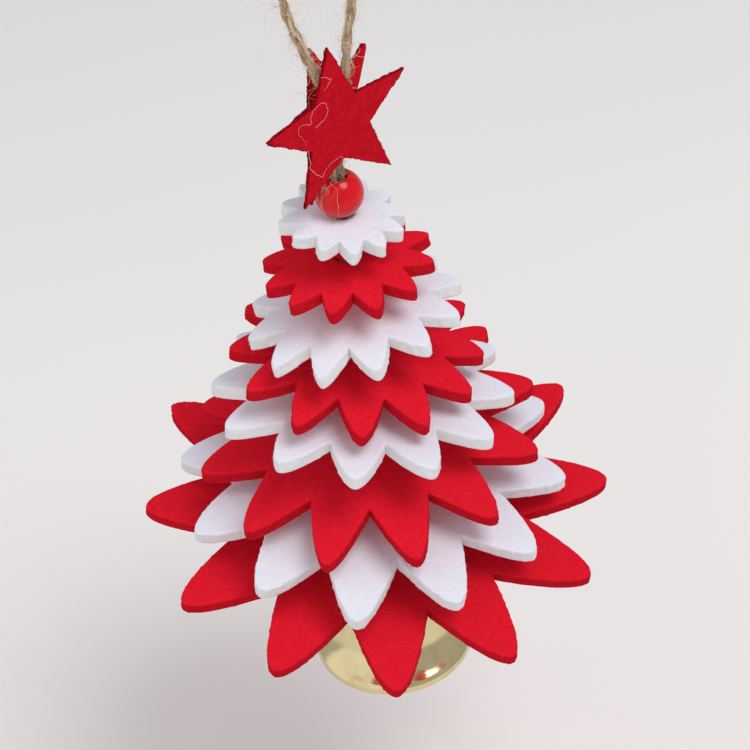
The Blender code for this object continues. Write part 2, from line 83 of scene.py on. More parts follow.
class NodeGraph:
    """Node tree of one new material, with short calls that add and join nodes."""

    def __init__(self, name: str) -> None:
        """Make the material.

        Args:
            name: The material's name.
        """
        self.material = bpy.data.materials.new(name)
        self.material.use_nodes = True
        self.tree = self.material.node_tree
        self.shader = self.tree.nodes["Principled BSDF"]

    def add(self, kind: str, inputs: Optional[dict] = None, **settings) -> bpy.types.Node:
        """Add one node.

        Args:
            kind: The node's type name.
            inputs: A value or a linked socket for each named or numbered input.
            settings: Properties of the node.

        Returns:
            The new node.
        """
        node = self.tree.nodes.new(kind)
        for key, value in settings.items():
            setattr(node, key, value)
        for key, value in (inputs or {}).items():
            if isinstance(value, bpy.types.NodeSocket):
                self.tree.links.new(value, node.inputs[key])
            else:
                node.inputs[key].default_value = value
        return node

    def place(self) -> bpy.types.NodeSocket:
        """Return the place on the piece, in metres."""
        return self.add("ShaderNodeTexCoord").outputs["Object"]

    def attribute(self, name: str, output: str = "Fac") -> bpy.types.NodeSocket:
        """Return a named attribute of the mesh."""
        return self.add("ShaderNodeAttribute", attribute_name=name).outputs[output]

    def stretch(self, vector: bpy.types.NodeSocket, scale: Sequence[float],
                turn_deg: Sequence[float] = (0.0, 0.0, 0.0)) -> bpy.types.NodeSocket:
        """Scale and turn a place.

        Args:
            vector: The place to start from.
            scale: Scale along each axis.
            turn_deg: Turn about each axis in degrees.

        Returns:
            The new place.
        """
        turn = [math.radians(angle) for angle in turn_deg]
        node = self.add("ShaderNodeMapping", {"Vector": vector, "Scale": scale, "Rotation": turn})
        return node.outputs["Vector"]

    def noise(self, vector: bpy.types.NodeSocket, scale: float, detail: float = 3.0,
              roughness: float = 0.55, distortion: float = 0.0) -> bpy.types.NodeSocket:
        """Add fractal noise.

        Args:
            vector: Where the noise is read.
            scale: Its cells per metre.
            detail: Octaves.
            roughness: Strength of the finer octaves.
            distortion: How far it is pulled about.

        Returns:
            The noise from 0 to 1.
        """
        node = self.add("ShaderNodeTexNoise", {
            "Vector": vector, "Scale": scale, "Detail": detail, "Roughness": roughness,
            "Distortion": distortion,
        })
        return node.outputs["Fac"]

    def spread(self, value: bpy.types.NodeSocket, low: float, high: float,
               to_low: float = 0.0, to_high: float = 1.0) -> bpy.types.NodeSocket:
        """Map a range of a value smoothly to another one.

        Args:
            value: The value to map.
            low: Value that gives to_low.
            high: Value that gives to_high.
            to_low: Lowest result.
            to_high: Highest result.

        Returns:
            The mapped value.
        """
        node = self.add("ShaderNodeMapRange", {
            "Value": value, "From Min": low, "From Max": high, "To Min": to_low, "To Max": to_high,
        }, interpolation_type="SMOOTHSTEP")
        return node.outputs["Result"]

    def math(self, operation: str, first, second=0.0) -> bpy.types.NodeSocket:
        """Join two values by one operation of the Math node."""
        return self.add("ShaderNodeMath", {0: first, 1: second}, operation=operation).outputs[0]

    def blend(self, share: bpy.types.NodeSocket, first, second) -> bpy.types.NodeSocket:
        """Mix two colours.

        Args:
            share: Share of the second colour.
            first: A colour or a socket.
            second: A colour or a socket.

        Returns:
            The mixed colour.
        """
        pair = [c if isinstance(c, bpy.types.NodeSocket) else (*c, 1.0) for c in (first, second)]
        node = self.add("ShaderNodeMix", {0: share, 6: pair[0], 7: pair[1]}, data_type="RGBA")
        return node.outputs[2]

    def bump(self, height: bpy.types.NodeSocket, distance: float, strength: float = 1.0,
             normal: Optional[bpy.types.NodeSocket] = None) -> bpy.types.NodeSocket:
        """Raise a surface by a height.

        Args:
            height: Height from 0 to 1.
            distance: Height of 1 in metres.
            strength: Share of the effect.
            normal: Normal of a bump below this one.

        Returns:
            The bumped normal.
        """
        inputs = {"Height": height, "Distance": distance, "Strength": strength}
        if normal is not None:
            inputs["Normal"] = normal
        return self.add("ShaderNodeBump", inputs).outputs["Normal"]

    def finish(self, colour=None, normal=None, roughness=None, **constants) -> bpy.types.Material:
        """Join the results to the shader.

        Args:
            colour: A colour or a socket.
            normal: A socket.
            roughness: A value or a socket.
            constants: Values for the shader's sockets, with _ for a space.

        Returns:
            The material.
        """
        linked = {"Base Color": colour, "Normal": normal, "Roughness": roughness}
        for name, value in linked.items():
            if isinstance(value, bpy.types.NodeSocket):
                self.tree.links.new(value, self.shader.inputs[name])
            elif value is not None:
                self.shader.inputs[name].default_value = (
                    (*value, 1.0) if isinstance(value, tuple) else value
                )
        for name, value in constants.items():
            self.shader.inputs[name.replace("_", " ")].default_value = value
        return self.material


@dataclass(frozen=True)
class FeltFinish:
    """Needled wool felt: matted fibres in tufts, painted darker in their hollows as shade, and a
    plainer, pitted cut edge whose darker colour is painted shade.

    Attributes:
        name: Name of the finish.
        face: Main colour of the faces.
        deep: Colour of the hollows between fibres, painted shade there, and of the small dark tufts
            and broad dark clouds.
        light: Colour of fibres that catch the light.
        cut: Colour of the cut edge, darker than the face: painted shade on the cut walls.
        mottle: Strength of the small dark tufts.
        clouds: Strength of the broad dark clouds.
        lays: Cells per metre along each axis, and turn, of the two ways that fibres lie.
    """

    name: str
    face: Colour
    deep: Colour
    light: Colour
    cut: Colour
    mottle: float = 0.26
    clouds: float = 0.24
    lays: tuple[tuple[tuple[float, float, float], float], ...] = (
        ((700.0, 3600.0, 2200.0), 25.0), ((3800.0, 800.0, 2200.0), -18.0),
    )

    def material(self) -> bpy.types.Material:
        """Return the felt's material."""
        graph = NodeGraph(self.name)
        place = graph.place()
        fibres = graph.math("MAXIMUM", *(
            graph.noise(graph.stretch(place, scale, (0, 0, turn)), 1.0, 3.0, 0.6, 0.6)
            for scale, turn in self.lays
        ))
        tufts = graph.noise(place, 1300.0, 3.0, 0.6, 0.4)
        clouds = graph.noise(place, 330.0, 3.0, 0.6)
        # Painted shade and highlight: the hollows between the fibres take the deep colour, the
        # fibres' crests the light one.
        colour = graph.blend(graph.spread(fibres, 0.44, 0.60), self.deep, self.face)
        colour = graph.blend(graph.spread(fibres, 0.62, 0.76, 0.0, 0.55), colour, self.light)
        colour = graph.blend(graph.spread(tufts, 0.36, 0.58, self.mottle, 0.0), colour, self.deep)
        colour = graph.blend(graph.spread(clouds, 0.36, 0.62, self.clouds, 0.0), colour, self.deep)
        # Painted shade: the cut walls, and the face's first ring where the rim share reaches, take
        # the darker cut colour in patches.
        cut_shade_patches = graph.spread(graph.noise(place, 2600.0, 2.0), 0.36, 0.62, 0.45, 1.0)
        edge = graph.math("MULTIPLY", graph.attribute("cut"), cut_shade_patches)
        colour = graph.blend(edge, colour, self.cut)
        normal = graph.bump(clouds, 0.00020, 0.6)
        normal = graph.bump(tufts, 0.00014, 0.8, normal)
        normal = graph.bump(fibres, 0.00008, 0.8, normal)
        return graph.finish(colour, normal, 0.95, Specular_IOR_Level=0.02)


@dataclass(frozen=True)
class TwineFinish:
    """Jute fibres that lie along the plies."""

    name: str = "jute_plies"
    straw: Colour = (0.455, 0.305, 0.18)
    pale: Colour = (0.66, 0.505, 0.35)
    dark: Colour = (0.17, 0.095, 0.048)

    def material(self) -> bpy.types.Material:
        """Return the twine's material."""
        graph = NodeGraph(self.name)
        lay = graph.attribute("lay", "Vector")
        fine = graph.noise(graph.stretch(lay, (6500, 6500, 380)), 1.0, 3.0, 0.6, 0.3)
        broad = graph.noise(graph.stretch(lay, (2600, 2600, 120)), 1.0, 3.0, 0.55, 0.4)
        colour = graph.blend(graph.spread(fine, 0.38, 0.56), self.dark, self.straw)
        colour = graph.blend(graph.spread(broad, 0.42, 0.62, 0.0, 0.85), colour, self.pale)
        normal = graph.bump(fine, 0.00010, 0.9)
        return graph.finish(colour, normal, 0.85, Specular_IOR_Level=0.2)


@dataclass(frozen=True)
class HairFinish:
    """Single stray fibres."""

    name: str
    colour: Colour
    pale: Colour
    roughness: float = 0.7

    def material(self) -> bpy.types.Material:
        """Return the fibres' material."""
        graph = NodeGraph(self.name)
        tone = graph.spread(graph.noise(graph.place(), 160.0, 2.0), 0.38, 0.62)
        return graph.finish(
            graph.blend(tone, self.colour, self.pale), None, self.roughness,
            Specular_IOR_Level=0.2,
        )


@dataclass(frozen=True)
class PaintFinish:
    """Glossy dipped paint over turned wood, slightly uneven."""

    name: str = "red_gloss_paint"
    colour: Colour = (0.70, 0.003, 0.008)
    thin: Colour = (0.50, 0.002, 0.005)

    def material(self) -> bpy.types.Material:
        """Return the paint's material."""
        graph = NodeGraph(self.name)
        place = graph.place()
        sag = graph.noise(place, 260.0, 2.0, 0.4)
        grain = graph.noise(graph.stretch(place, (2600, 2600, 420)), 1.0, 2.0, 0.5)
        colour = graph.blend(graph.spread(sag, 0.35, 0.65, 0.0, 0.5), self.colour, self.thin)
        normal = graph.bump(sag, 0.00012, 0.5)
        normal = graph.bump(grain, 0.000015, 0.5, normal)
        return graph.finish(
            colour, normal, graph.spread(grain, 0.3, 0.7, 0.26, 0.36),
            Specular_IOR_Level=0.04, Coat_Weight=0.60, Coat_Roughness=0.15, Coat_IOR=1.45,
        )


@dataclass(frozen=True)
class MetalFinish:
    """Bright plated metal with faint handling marks.

    Attributes:
        name: Name of the finish.
        bright: Colour where the plating is clean.
        dull: Colour where it has tarnished.
        gloss: Lowest and highest roughness.
    """

    name: str
    bright: Colour
    dull: Colour
    gloss: tuple[float, float]

    def material(self) -> bpy.types.Material:
        """Return the metal's material."""
        graph = NodeGraph(self.name)
        place = graph.place()
        clouds = graph.noise(place, 190.0, 4.0, 0.6)
        scuffs = graph.noise(graph.stretch(place, (800, 800, 9000)), 1.0, 3.0, 0.6)
        colour = graph.blend(graph.spread(clouds, 0.42, 0.72, 0.0, 0.6), self.bright, self.dull)
        roughness = graph.spread(graph.math("MULTIPLY", clouds, scuffs), 0.15, 0.42, *self.gloss)
        return graph.finish(colour, graph.bump(scuffs, 0.000006, 0.5), roughness, Metallic=1.0)


@dataclass(frozen=True)
class GlueFinish:
    """Set hot glue, milky and slightly yellow."""

    name: str = "set_glue"
    colour: Colour = (0.80, 0.74, 0.58)
    milky: Colour = (0.90, 0.88, 0.80)

    def material(self) -> bpy.types.Material:
        """Return the glue's material."""
        graph = NodeGraph(self.name)
        clouds = graph.noise(graph.place(), 900.0, 3.0)
        colour = graph.blend(graph.spread(clouds, 0.4, 0.7, 0.0, 0.4), self.colour, self.milky)
        return graph.finish(
            colour, graph.bump(clouds, 0.0001, 0.5), 0.3, Transmission_Weight=0.25,
            Subsurface_Weight=0.3, Subsurface_Scale=0.001,
        )


class Felt(Enum):
    """The felts that the discs and stars are cut from."""

    RED = "red_felt"
    WHITE = "white_felt"
    THIN_RED = "thin_red_felt"


# The deep colours are partly painted shade in the fibres' hollows. The cut colours are painted
# shade on the cut walls, and the thin red felt's near-black one paints a dark outline round the
# stars.
FELTS: dict[Felt, FeltFinish] = {
    Felt.RED: FeltFinish(
        "red_wool_felt", face=(0.76, 0.013, 0.030), deep=(0.65, 0.009, 0.022),
        light=(0.82, 0.022, 0.042), cut=(0.46, 0.006, 0.015),
    ),
    Felt.WHITE: FeltFinish(
        "white_wool_felt", face=(0.80, 0.815, 0.905), deep=(0.745, 0.76, 0.845),
        light=(0.85, 0.86, 0.94), cut=(0.78, 0.775, 0.76),
    ),
    Felt.THIN_RED: FeltFinish(
        "thin_red_wool_felt", face=(0.66, 0.009, 0.022), deep=(0.46, 0.005, 0.013),
        light=(0.76, 0.026, 0.048), cut=(0.10, 0.002, 0.004), mottle=0.5, clouds=0.55,
    ),
}
FELT_HAIRS: dict[Felt, HairFinish] = {
    Felt.RED: HairFinish("red_felt_hairs", (0.58, 0.005, 0.014), (0.70, 0.020, 0.036), 0.9),
    Felt.WHITE: HairFinish("white_felt_hairs", (0.74, 0.74, 0.79), (0.84, 0.84, 0.88), 0.9),
    Felt.THIN_RED: HairFinish("thin_red_felt_hairs", (0.40, 0.004, 0.010), (0.62, 0.02, 0.04), 0.9),
}
JUTE = TwineFinish()
JUTE_HAIRS = HairFinish("jute_hairs", (0.66, 0.53, 0.36), (0.92, 0.86, 0.74))
LINT = HairFinish("pale_lint", (0.80, 0.34, 0.31), (0.92, 0.68, 0.59))
PAINT = PaintFinish()
BRASS = MetalFinish("bright_brass", (0.75, 0.63, 0.355), (0.55, 0.435, 0.21), (0.13, 0.26))
STEEL = MetalFinish("nickel_steel", (0.72, 0.70, 0.66), (0.42, 0.40, 0.37), (0.16, 0.36))
GLUE = GlueFinish()


@cache
def material_of(finish) -> bpy.types.Material:
    """Return the one material that all pieces of a finish share."""
    return finish.material()


def dressed(name: str, bm: bmesh.types.BMesh, finish, body: str,
            nodes: Sequence[str] = (), recalculate: bool = True) -> bpy.types.Object:
    """Turn a bmesh into a finished piece of the scene.

    Args:
        name: Name of the piece.
        bm: Its shape, which is freed.
        finish: The finish that it wears.
        body: The body that it rides on.
        nodes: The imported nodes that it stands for.
        recalculate: Whether its faces are turned outwards here.

    Returns:
        The piece.
    """
    if recalculate:
        bmesh.ops.recalc_face_normals(bm, faces=bm.faces[:])
    mesh = bpy.data.meshes.new(name)
    bm.to_mesh(mesh)
    bm.free()
    mesh.shade_smooth()
    return placed(name, mesh, finish, body, nodes)


def placed(name: str, mesh: bpy.types.Mesh, finish, body: str,
           nodes: Sequence[str] = ()) -> bpy.types.Object:
    """Link a mesh as a piece of the scene; the arguments are those of dressed()."""
    mesh.materials.clear()
    mesh.materials.append(material_of(finish))
    piece = bpy.data.objects.new(name, mesh)
    bpy.context.scene.collection.objects.link(piece)
    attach(piece, body)
    if nodes:
        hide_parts(*nodes)
    LOG.info("%s: %d faces, rides on %s", name, len(mesh.polygons), body)
    return piece


def smooth_route(points: Sequence[Vector], step: float, cyclic: bool = False) -> list[Vector]:
    """Read a smooth curve through given points.

    Args:
        points: The points that it goes through.
        step: Longest step between two points of the result.
        cyclic: Whether it closes on itself.

    Returns:
        The points of the curve.
    """
    count = len(points)
    result: list[Vector] = []
    for i in range(count if cyclic else count - 1):
        if cyclic:
            a, b, c, d = (points[(i + k) % count] for k in (-1, 0, 1, 2))
        else:
            a, b, c, d = (points[min(max(i + k, 0), count - 1)] for k in (-1, 0, 1, 2))
        steps = max(1, math.ceil((c - b).length / step))
        for k in range(steps):
            t = k / steps
            result.append(
                b * (2 * t ** 3 - 3 * t ** 2 + 1) + (c - a) / 2 * (t ** 3 - 2 * t ** 2 + t)
                + c * (3 * t ** 2 - 2 * t ** 3) + (d - b) / 2 * (t ** 3 - t ** 2)
            )
    if not cyclic:
        result.append(points[-1].copy())
    return result


def route_length(points: Sequence[Vector]) -> float:
    """Return the length of a route in metres."""
    return sum((b - a).length for a, b in zip(points, points[1:]))


def turn_z(degrees: float) -> Matrix:
    """Return a turn about the vertical, from +X towards +Y."""
    return Matrix.Rotation(math.radians(degrees), 4, "Z")


def frames_along(points: Sequence[Vector], cyclic: bool = False) -> list[Matrix]:
    """Carry a cross-section along a route without turning it about the route.

    Args:
        points: The route.
        cyclic: Whether it closes on itself.

    Returns:
        One frame a point, with its Z axis along the route.
    """
    count = len(points)
    tangents = []
    for i in range(count):
        before = points[(i - 1) % count] if cyclic else points[max(i - 1, 0)]
        after = points[(i + 1) % count] if cyclic else points[min(i + 1, count - 1)]
        tangents.append((after - before).normalized())
    side = tangents[0].orthogonal().normalized()
    sides = []
    for before, after in zip([tangents[0]] + tangents, tangents):
        side = before.rotation_difference(after) @ side
        side = (side - after * side.dot(after)).normalized()
        sides.append(side)
    slip = 0.0
    if cyclic:
        last = tangents[-1].rotation_difference(tangents[0]) @ sides[-1]
        slip = math.atan2(last.cross(sides[0]).dot(tangents[0]), last.dot(sides[0]))
    frames = []
    for i, (point, tangent, across) in enumerate(zip(points, tangents, sides)):
        across = Matrix.Rotation(slip * i / count, 3, tangent) @ across
        turned = Matrix((across, tangent.cross(across), tangent)).transposed().to_4x4()
        frames.append(Matrix.Translation(point) @ turned)
    return frames


def sweep(bm: bmesh.types.BMesh, frames: Sequence[Matrix], radius: float, segments: int,
          cyclic: bool = False) -> list[list[bmesh.types.BMVert]]:
    """Extrude a round section along frames.

    Args:
        bm: The mesh to add to.
        frames: Places of the section.
        radius: Radius of the section.
        segments: Corners of the section.
        cyclic: Whether the last section joins the first.

    Returns:
        The corners of each section in order.
    """
    size = Matrix.Scale(radius, 4)
    ring = bmesh.ops.create_circle(bm, radius=1.0, segments=segments, matrix=frames[0] @ size)
    rings = [list(ring["verts"])]
    edges = [bm.edges.get((a, b)) for a, b in zip(rings[0], rings[0][1:] + rings[0][:1])]
    if not cyclic:
        bmesh.ops.contextual_create(bm, geom=edges)
    for before, after in zip(frames, frames[1:]):
        extruded = bmesh.ops.extrude_edge_only(bm, edges=edges)["geom"]
        verts = [item for item in extruded if isinstance(item, bmesh.types.BMVert)]
        moved = {}
        for vert in verts:
            for edge in vert.link_edges:
                if edge.other_vert(vert) in rings[-1]:
                    moved[edge.other_vert(vert)] = vert
        rings.append([moved[vert] for vert in rings[-1]])
        bmesh.ops.transform(bm, matrix=after @ before.inverted(), verts=verts)
        edges = [bm.edges.get((a, b)) for a, b in zip(rings[-1], rings[-1][1:] + rings[-1][:1])]
    if cyclic:
        first = [bm.edges.get((a, b)) for a, b in zip(rings[0], rings[0][1:] + rings[0][:1])]
        bmesh.ops.bridge_loops(bm, edges=edges + first)
    else:
        bmesh.ops.contextual_create(bm, geom=edges)
    return rings


def spun(profile: Sequence[tuple[float, float]], steps: int, closed: bool) -> bmesh.types.BMesh:
    """Spin a profile of (radius, height) pairs once round the vertical.

    Args:
        profile: The profile from end to end.
        steps: Steps round the axis.
        closed: Whether the profile's end joins its start.

    Returns:
        The spun mesh.
    """
    bm = bmesh.new()
    verts = [bm.verts.new((radius, 0.0, height)) for radius, height in profile]
    edges = [bm.edges.new(pair) for pair in zip(verts, verts[1:])]
    if closed:
        edges.append(bm.edges.new((verts[-1], verts[0])))
    bmesh.ops.spin(
        bm, geom=verts + edges, cent=(0, 0, 0), axis=(0, 0, 1), dvec=(0, 0, 0),
        angle=2 * math.pi, steps=steps, use_merge=True,
    )
    bmesh.ops.remove_doubles(bm, verts=bm.verts[:], dist=1e-7)
    return bm


def roughen(bm: bmesh.types.BMesh, verts: Sequence[bmesh.types.BMVert], amount: float,
            grain: float, seed: float) -> None:
    """Move points a little along their normals by smooth noise.

    Args:
        bm: The mesh.
        verts: The points to move.
        amount: Largest move in metres.
        grain: Size of one bump in metres.
        seed: Shifts the noise from piece to piece.
    """
    bm.normal_update()
    shift = Vector((seed, -seed, 2 * seed))
    for vert, normal in [(v, v.normal.copy()) for v in verts]:
        vert.co += normal * (amount * noise.noise(vert.co / grain + shift))


def hairs(name: str, strands: Sequence[Sequence[Vector]], radius: float, finish, body: str,
          taper: float = 0.35) -> bpy.types.Object:
    """Make one piece of many thin fibres.

    Args:
        name: Name of the piece.
        strands: The points of each fibre.
        radius: Radius of a fibre.
        finish: The finish that they wear.
        body: The body that they ride on.
        taper: Share of the radius that is left at a fibre's tip.

    Returns:
        The piece.
    """
    curve = bpy.data.curves.new(name, "CURVE")
    curve.dimensions = "3D"
    curve.bevel_depth = radius
    curve.bevel_resolution = 0
    curve.resolution_u = 1
    curve.use_fill_caps = True
    for strand in strands:
        spline = curve.splines.new("POLY")
        spline.points.add(len(strand) - 1)
        for k, (point, co) in enumerate(zip(spline.points, strand)):
            point.co = (*co, 1.0)
            point.radius = 1.0 - (1.0 - taper) * (k / (len(strand) - 1)) ** 2
    carrier = bpy.data.objects.new(name + "_curve", curve)
    mesh = bpy.data.meshes.new_from_object(carrier)
    mesh.name = name
    bpy.data.objects.remove(carrier)
    bpy.data.curves.remove(curve)
    mesh.shade_smooth()
    return placed(name, mesh, finish, body)


def curl(start: Vector, heading: Vector, length: float, steps: int, bend: float,
         dice: random.Random) -> list[Vector]:
    """Grow one curling fibre.

    Args:
        start: Where it starts.
        heading: Which way it sets off.
        length: Its length.
        steps: Its number of straight bits.
        bend: How much it turns at each step, in radians.
        dice: Source of chance.

    Returns:
        Its points.
    """
    axis = Vector((dice.gauss(0, 1), dice.gauss(0, 1), dice.gauss(0, 1))).normalized()
    points, heading = [start.copy()], heading.normalized()
    for _ in range(steps):
        points.append(points[-1] + heading * (length / steps))
        axis = (axis + 0.5 * Vector([dice.gauss(0, 1) for _ in range(3)])).normalized()
        heading = Matrix.Rotation(bend * dice.uniform(0.3, 1.0), 3, axis) @ heading
    return points


def joint_place(child: str) -> tuple[Vector, Vector]:
    """Return the anchor and the axis of the joint that a body turns on."""
    joint = next(j for j in frame["joints"] if j["child"] == child)
    return Vector(joint["pos_m"]), Vector(joint["axis"]).normalized()


def middle_of(node: str) -> Vector:
    """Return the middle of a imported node's box."""
    low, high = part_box(node)
    return (low + high) / 2


@dataclass
class FeltPiece:
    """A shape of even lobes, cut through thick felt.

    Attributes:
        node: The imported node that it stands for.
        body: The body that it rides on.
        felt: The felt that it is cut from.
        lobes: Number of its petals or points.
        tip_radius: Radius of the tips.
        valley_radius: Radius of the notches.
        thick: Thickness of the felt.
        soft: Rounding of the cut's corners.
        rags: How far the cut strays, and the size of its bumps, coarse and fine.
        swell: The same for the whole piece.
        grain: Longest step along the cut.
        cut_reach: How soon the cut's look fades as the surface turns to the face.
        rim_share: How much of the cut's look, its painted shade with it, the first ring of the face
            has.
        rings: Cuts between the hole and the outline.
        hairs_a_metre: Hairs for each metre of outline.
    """

    node: str
    body: str
    felt: Felt
    lobes: int
    tip_radius: float
    valley_radius: float
    thick: float
    soft: float = 0.00035
    rags: tuple[tuple[float, float], ...] = ((0.00018, 0.0013), (0.00016, 0.0005))
    swell: tuple[float, float] = (0.00006, 0.0022)
    grain: float = 0.00045
    cut_reach: float = 1.6
    rim_share: float = 0.0
    inner_radius: float = 0.0006
    rings: int = 12
    wall_cuts: int = 3
    hairs_a_metre: float = 2600.0
    hair_length: float = 0.0007
    hair_radius: float = 0.000012
    seed: int = 1

    def half_outline(self) -> list[Vector]:
        """Return the cut from a notch to the tip on +X."""
        raise NotImplementedError

    def place(self) -> Matrix:
        """Return the place of the piece, whose face looks along +Z before."""
        raise NotImplementedError

    def bend(self, bm: bmesh.types.BMesh) -> None:
        """Bend the flat piece to its hanging shape."""
        raise NotImplementedError

    def flat_sheet(self) -> bmesh.types.BMesh:
        """Lay out the piece as one flat layer.

        Returns:
            A mesh in the XY plane that looks along +Z.
        """
        bm = bmesh.new()
        outline = self.half_outline()
        half = math.pi / self.lobes
        count = len(outline)
        inner = [
            Vector((math.cos(a), math.sin(a), 0)) * self.inner_radius
            for a in (-half * (1 - k / (count - 1)) for k in range(count))
        ]
        chains = []
        for points in (inner, outline):
            verts = [bm.verts.new(point) for point in points]
            chains += [bm.edges.new(pair) for pair in zip(verts, verts[1:])]
        bmesh.ops.bridge_loops(bm, edges=chains)
        along = set(chains)
        spokes = [edge for edge in bm.edges if edge not in along]
        bmesh.ops.subdivide_edges(bm, edges=spokes, cuts=self.rings, use_grid_fill=True)
        bmesh.ops.mirror(
            bm, geom=bm.verts[:] + bm.edges[:] + bm.faces[:], axis="Y", merge_dist=1e-6)
        bmesh.ops.recalc_face_normals(bm, faces=bm.faces[:])
        bmesh.ops.spin(
            bm, geom=bm.verts[:] + bm.edges[:] + bm.faces[:], cent=(0, 0, 0), axis=(0, 0, 1),
            dvec=(0, 0, 0), angle=2 * math.pi * (self.lobes - 1) / self.lobes,
            steps=self.lobes - 1, use_duplicate=True,
        )
        bmesh.ops.remove_doubles(bm, verts=bm.verts[:], dist=1e-6)
        return bm

    def solid(self) -> bmesh.types.BMesh:
        """Give the sheet its thickness, its soft cut corners and its shape.

        Returns:
            The felt in its own flat frame, face up.
        """
        bm = self.flat_sheet()
        self.close_middle(bm)
        bmesh.ops.translate(bm, verts=bm.verts[:], vec=(0, 0, self.thick / 2))
        extruded = bmesh.ops.extrude_face_region(bm, geom=bm.faces[:], use_keep_orig=True)["geom"]
        lower = [item for item in extruded if isinstance(item, bmesh.types.BMVert)]
        bmesh.ops.translate(bm, verts=lower, vec=(0, 0, -self.thick))
        bmesh.ops.recalc_face_normals(bm, faces=bm.faces[:])
        posts = [
            edge for edge in bm.edges
            if abs(edge.verts[0].co.z - edge.verts[1].co.z) > self.thick / 2
        ]
        bmesh.ops.subdivide_edges(bm, edges=posts, cuts=self.wall_cuts, use_grid_fill=True)
        cut = bm.verts.layers.float.new("cut")
        half = self.thick / 2
        rims = [
            edge for edge in bm.edges
            if all(abs(abs(v.co.z) - half) < 1e-7 for v in edge.verts)
            and any(abs(face.normal.z) < 0.5 for face in edge.link_faces)
        ]
        bmesh.ops.bevel(
            bm, geom=rims, offset=self.soft, offset_type="OFFSET", affect="EDGES", segments=2,
            profile=0.5, material=-1, clamp_overlap=True,
        )
        bm.normal_update()
        # The cut share marks the cut walls, where the finish paints shade; the rim share carries
        # that painted shade onto the face's first ring.
        for vert in bm.verts:
            vert[cut] = max(0.0, 1.0 - abs(vert.normal.z) * self.cut_reach)
        rim = [
            vert for vert in bm.verts if vert[cut] == 0.0
            and any(edge.other_vert(vert)[cut] > 0.0 for edge in vert.link_edges)
        ]
        for vert in rim:
            vert[cut] = self.rim_share
        return bm

    def close_middle(self, bm: bmesh.types.BMesh) -> None:
        """Close the small opening in the middle of the sheet."""

    def build(self) -> bpy.types.Object:
        """Build the felt with its hairs.

        Returns:
            The felt piece.
        """
        bm = self.solid()
        cut = bm.verts.layers.float["cut"]
        edge_verts = [vert for vert in bm.verts if vert[cut] > 0.3]
        for amount, size in self.rags:
            roughen(bm, edge_verts, amount, size, self.seed)
        roughen(bm, bm.verts, *self.swell, self.seed + 7.0)
        self.bend(bm)
        bmesh.ops.transform(bm, matrix=self.place(), verts=bm.verts)
        bmesh.ops.recalc_face_normals(bm, faces=bm.faces[:])
        strands = self.grow_hairs(bm)
        piece = dressed(self.node + "_cloth", bm, FELTS[self.felt], self.body, [self.node])
        fuzz = hairs(
            self.node + "_hairs", strands, self.hair_radius, FELT_HAIRS[self.felt], self.body)
        return piece

    def rests_on(self) -> list[str]:
        """Return the names of what the felt rests on."""
        return []

    def grow_hairs(self, bm: bmesh.types.BMesh) -> list[list[Vector]]:
        """Grow short hairs, most of them from the cut.

        Args:
            bm: The felt in place.

        Returns:
            The points of each hair.
        """
        dice = random.Random(self.seed * 101 + 5)
        cut = bm.verts.layers.float["cut"]
        faces, weights = [], []
        for face in bm.faces:
            share = sum(vert[cut] for vert in face.verts) / len(face.verts)
            faces.append(face)
            weights.append(face.calc_area() * (0.06 + share))
        perimeter = 2 * self.lobes * route_length(self.half_outline())
        strands = []
        for face in dice.choices(faces, weights, k=round(perimeter * self.hairs_a_metre)):
            mix = [dice.random() for _ in face.verts]
            start = sum((v.co * m for v, m in zip(face.verts, mix)), Vector()) / sum(mix)
            heading = face.normal + Vector([dice.gauss(0, 0.75) for _ in range(3)])
            if heading.dot(face.normal) < 0.2:
                heading += face.normal
            length = self.hair_length * dice.uniform(0.35, 1.0)
            strands.append(curl(start - face.normal * 5e-5, heading, length, 2, 0.8, dice))
        return strands


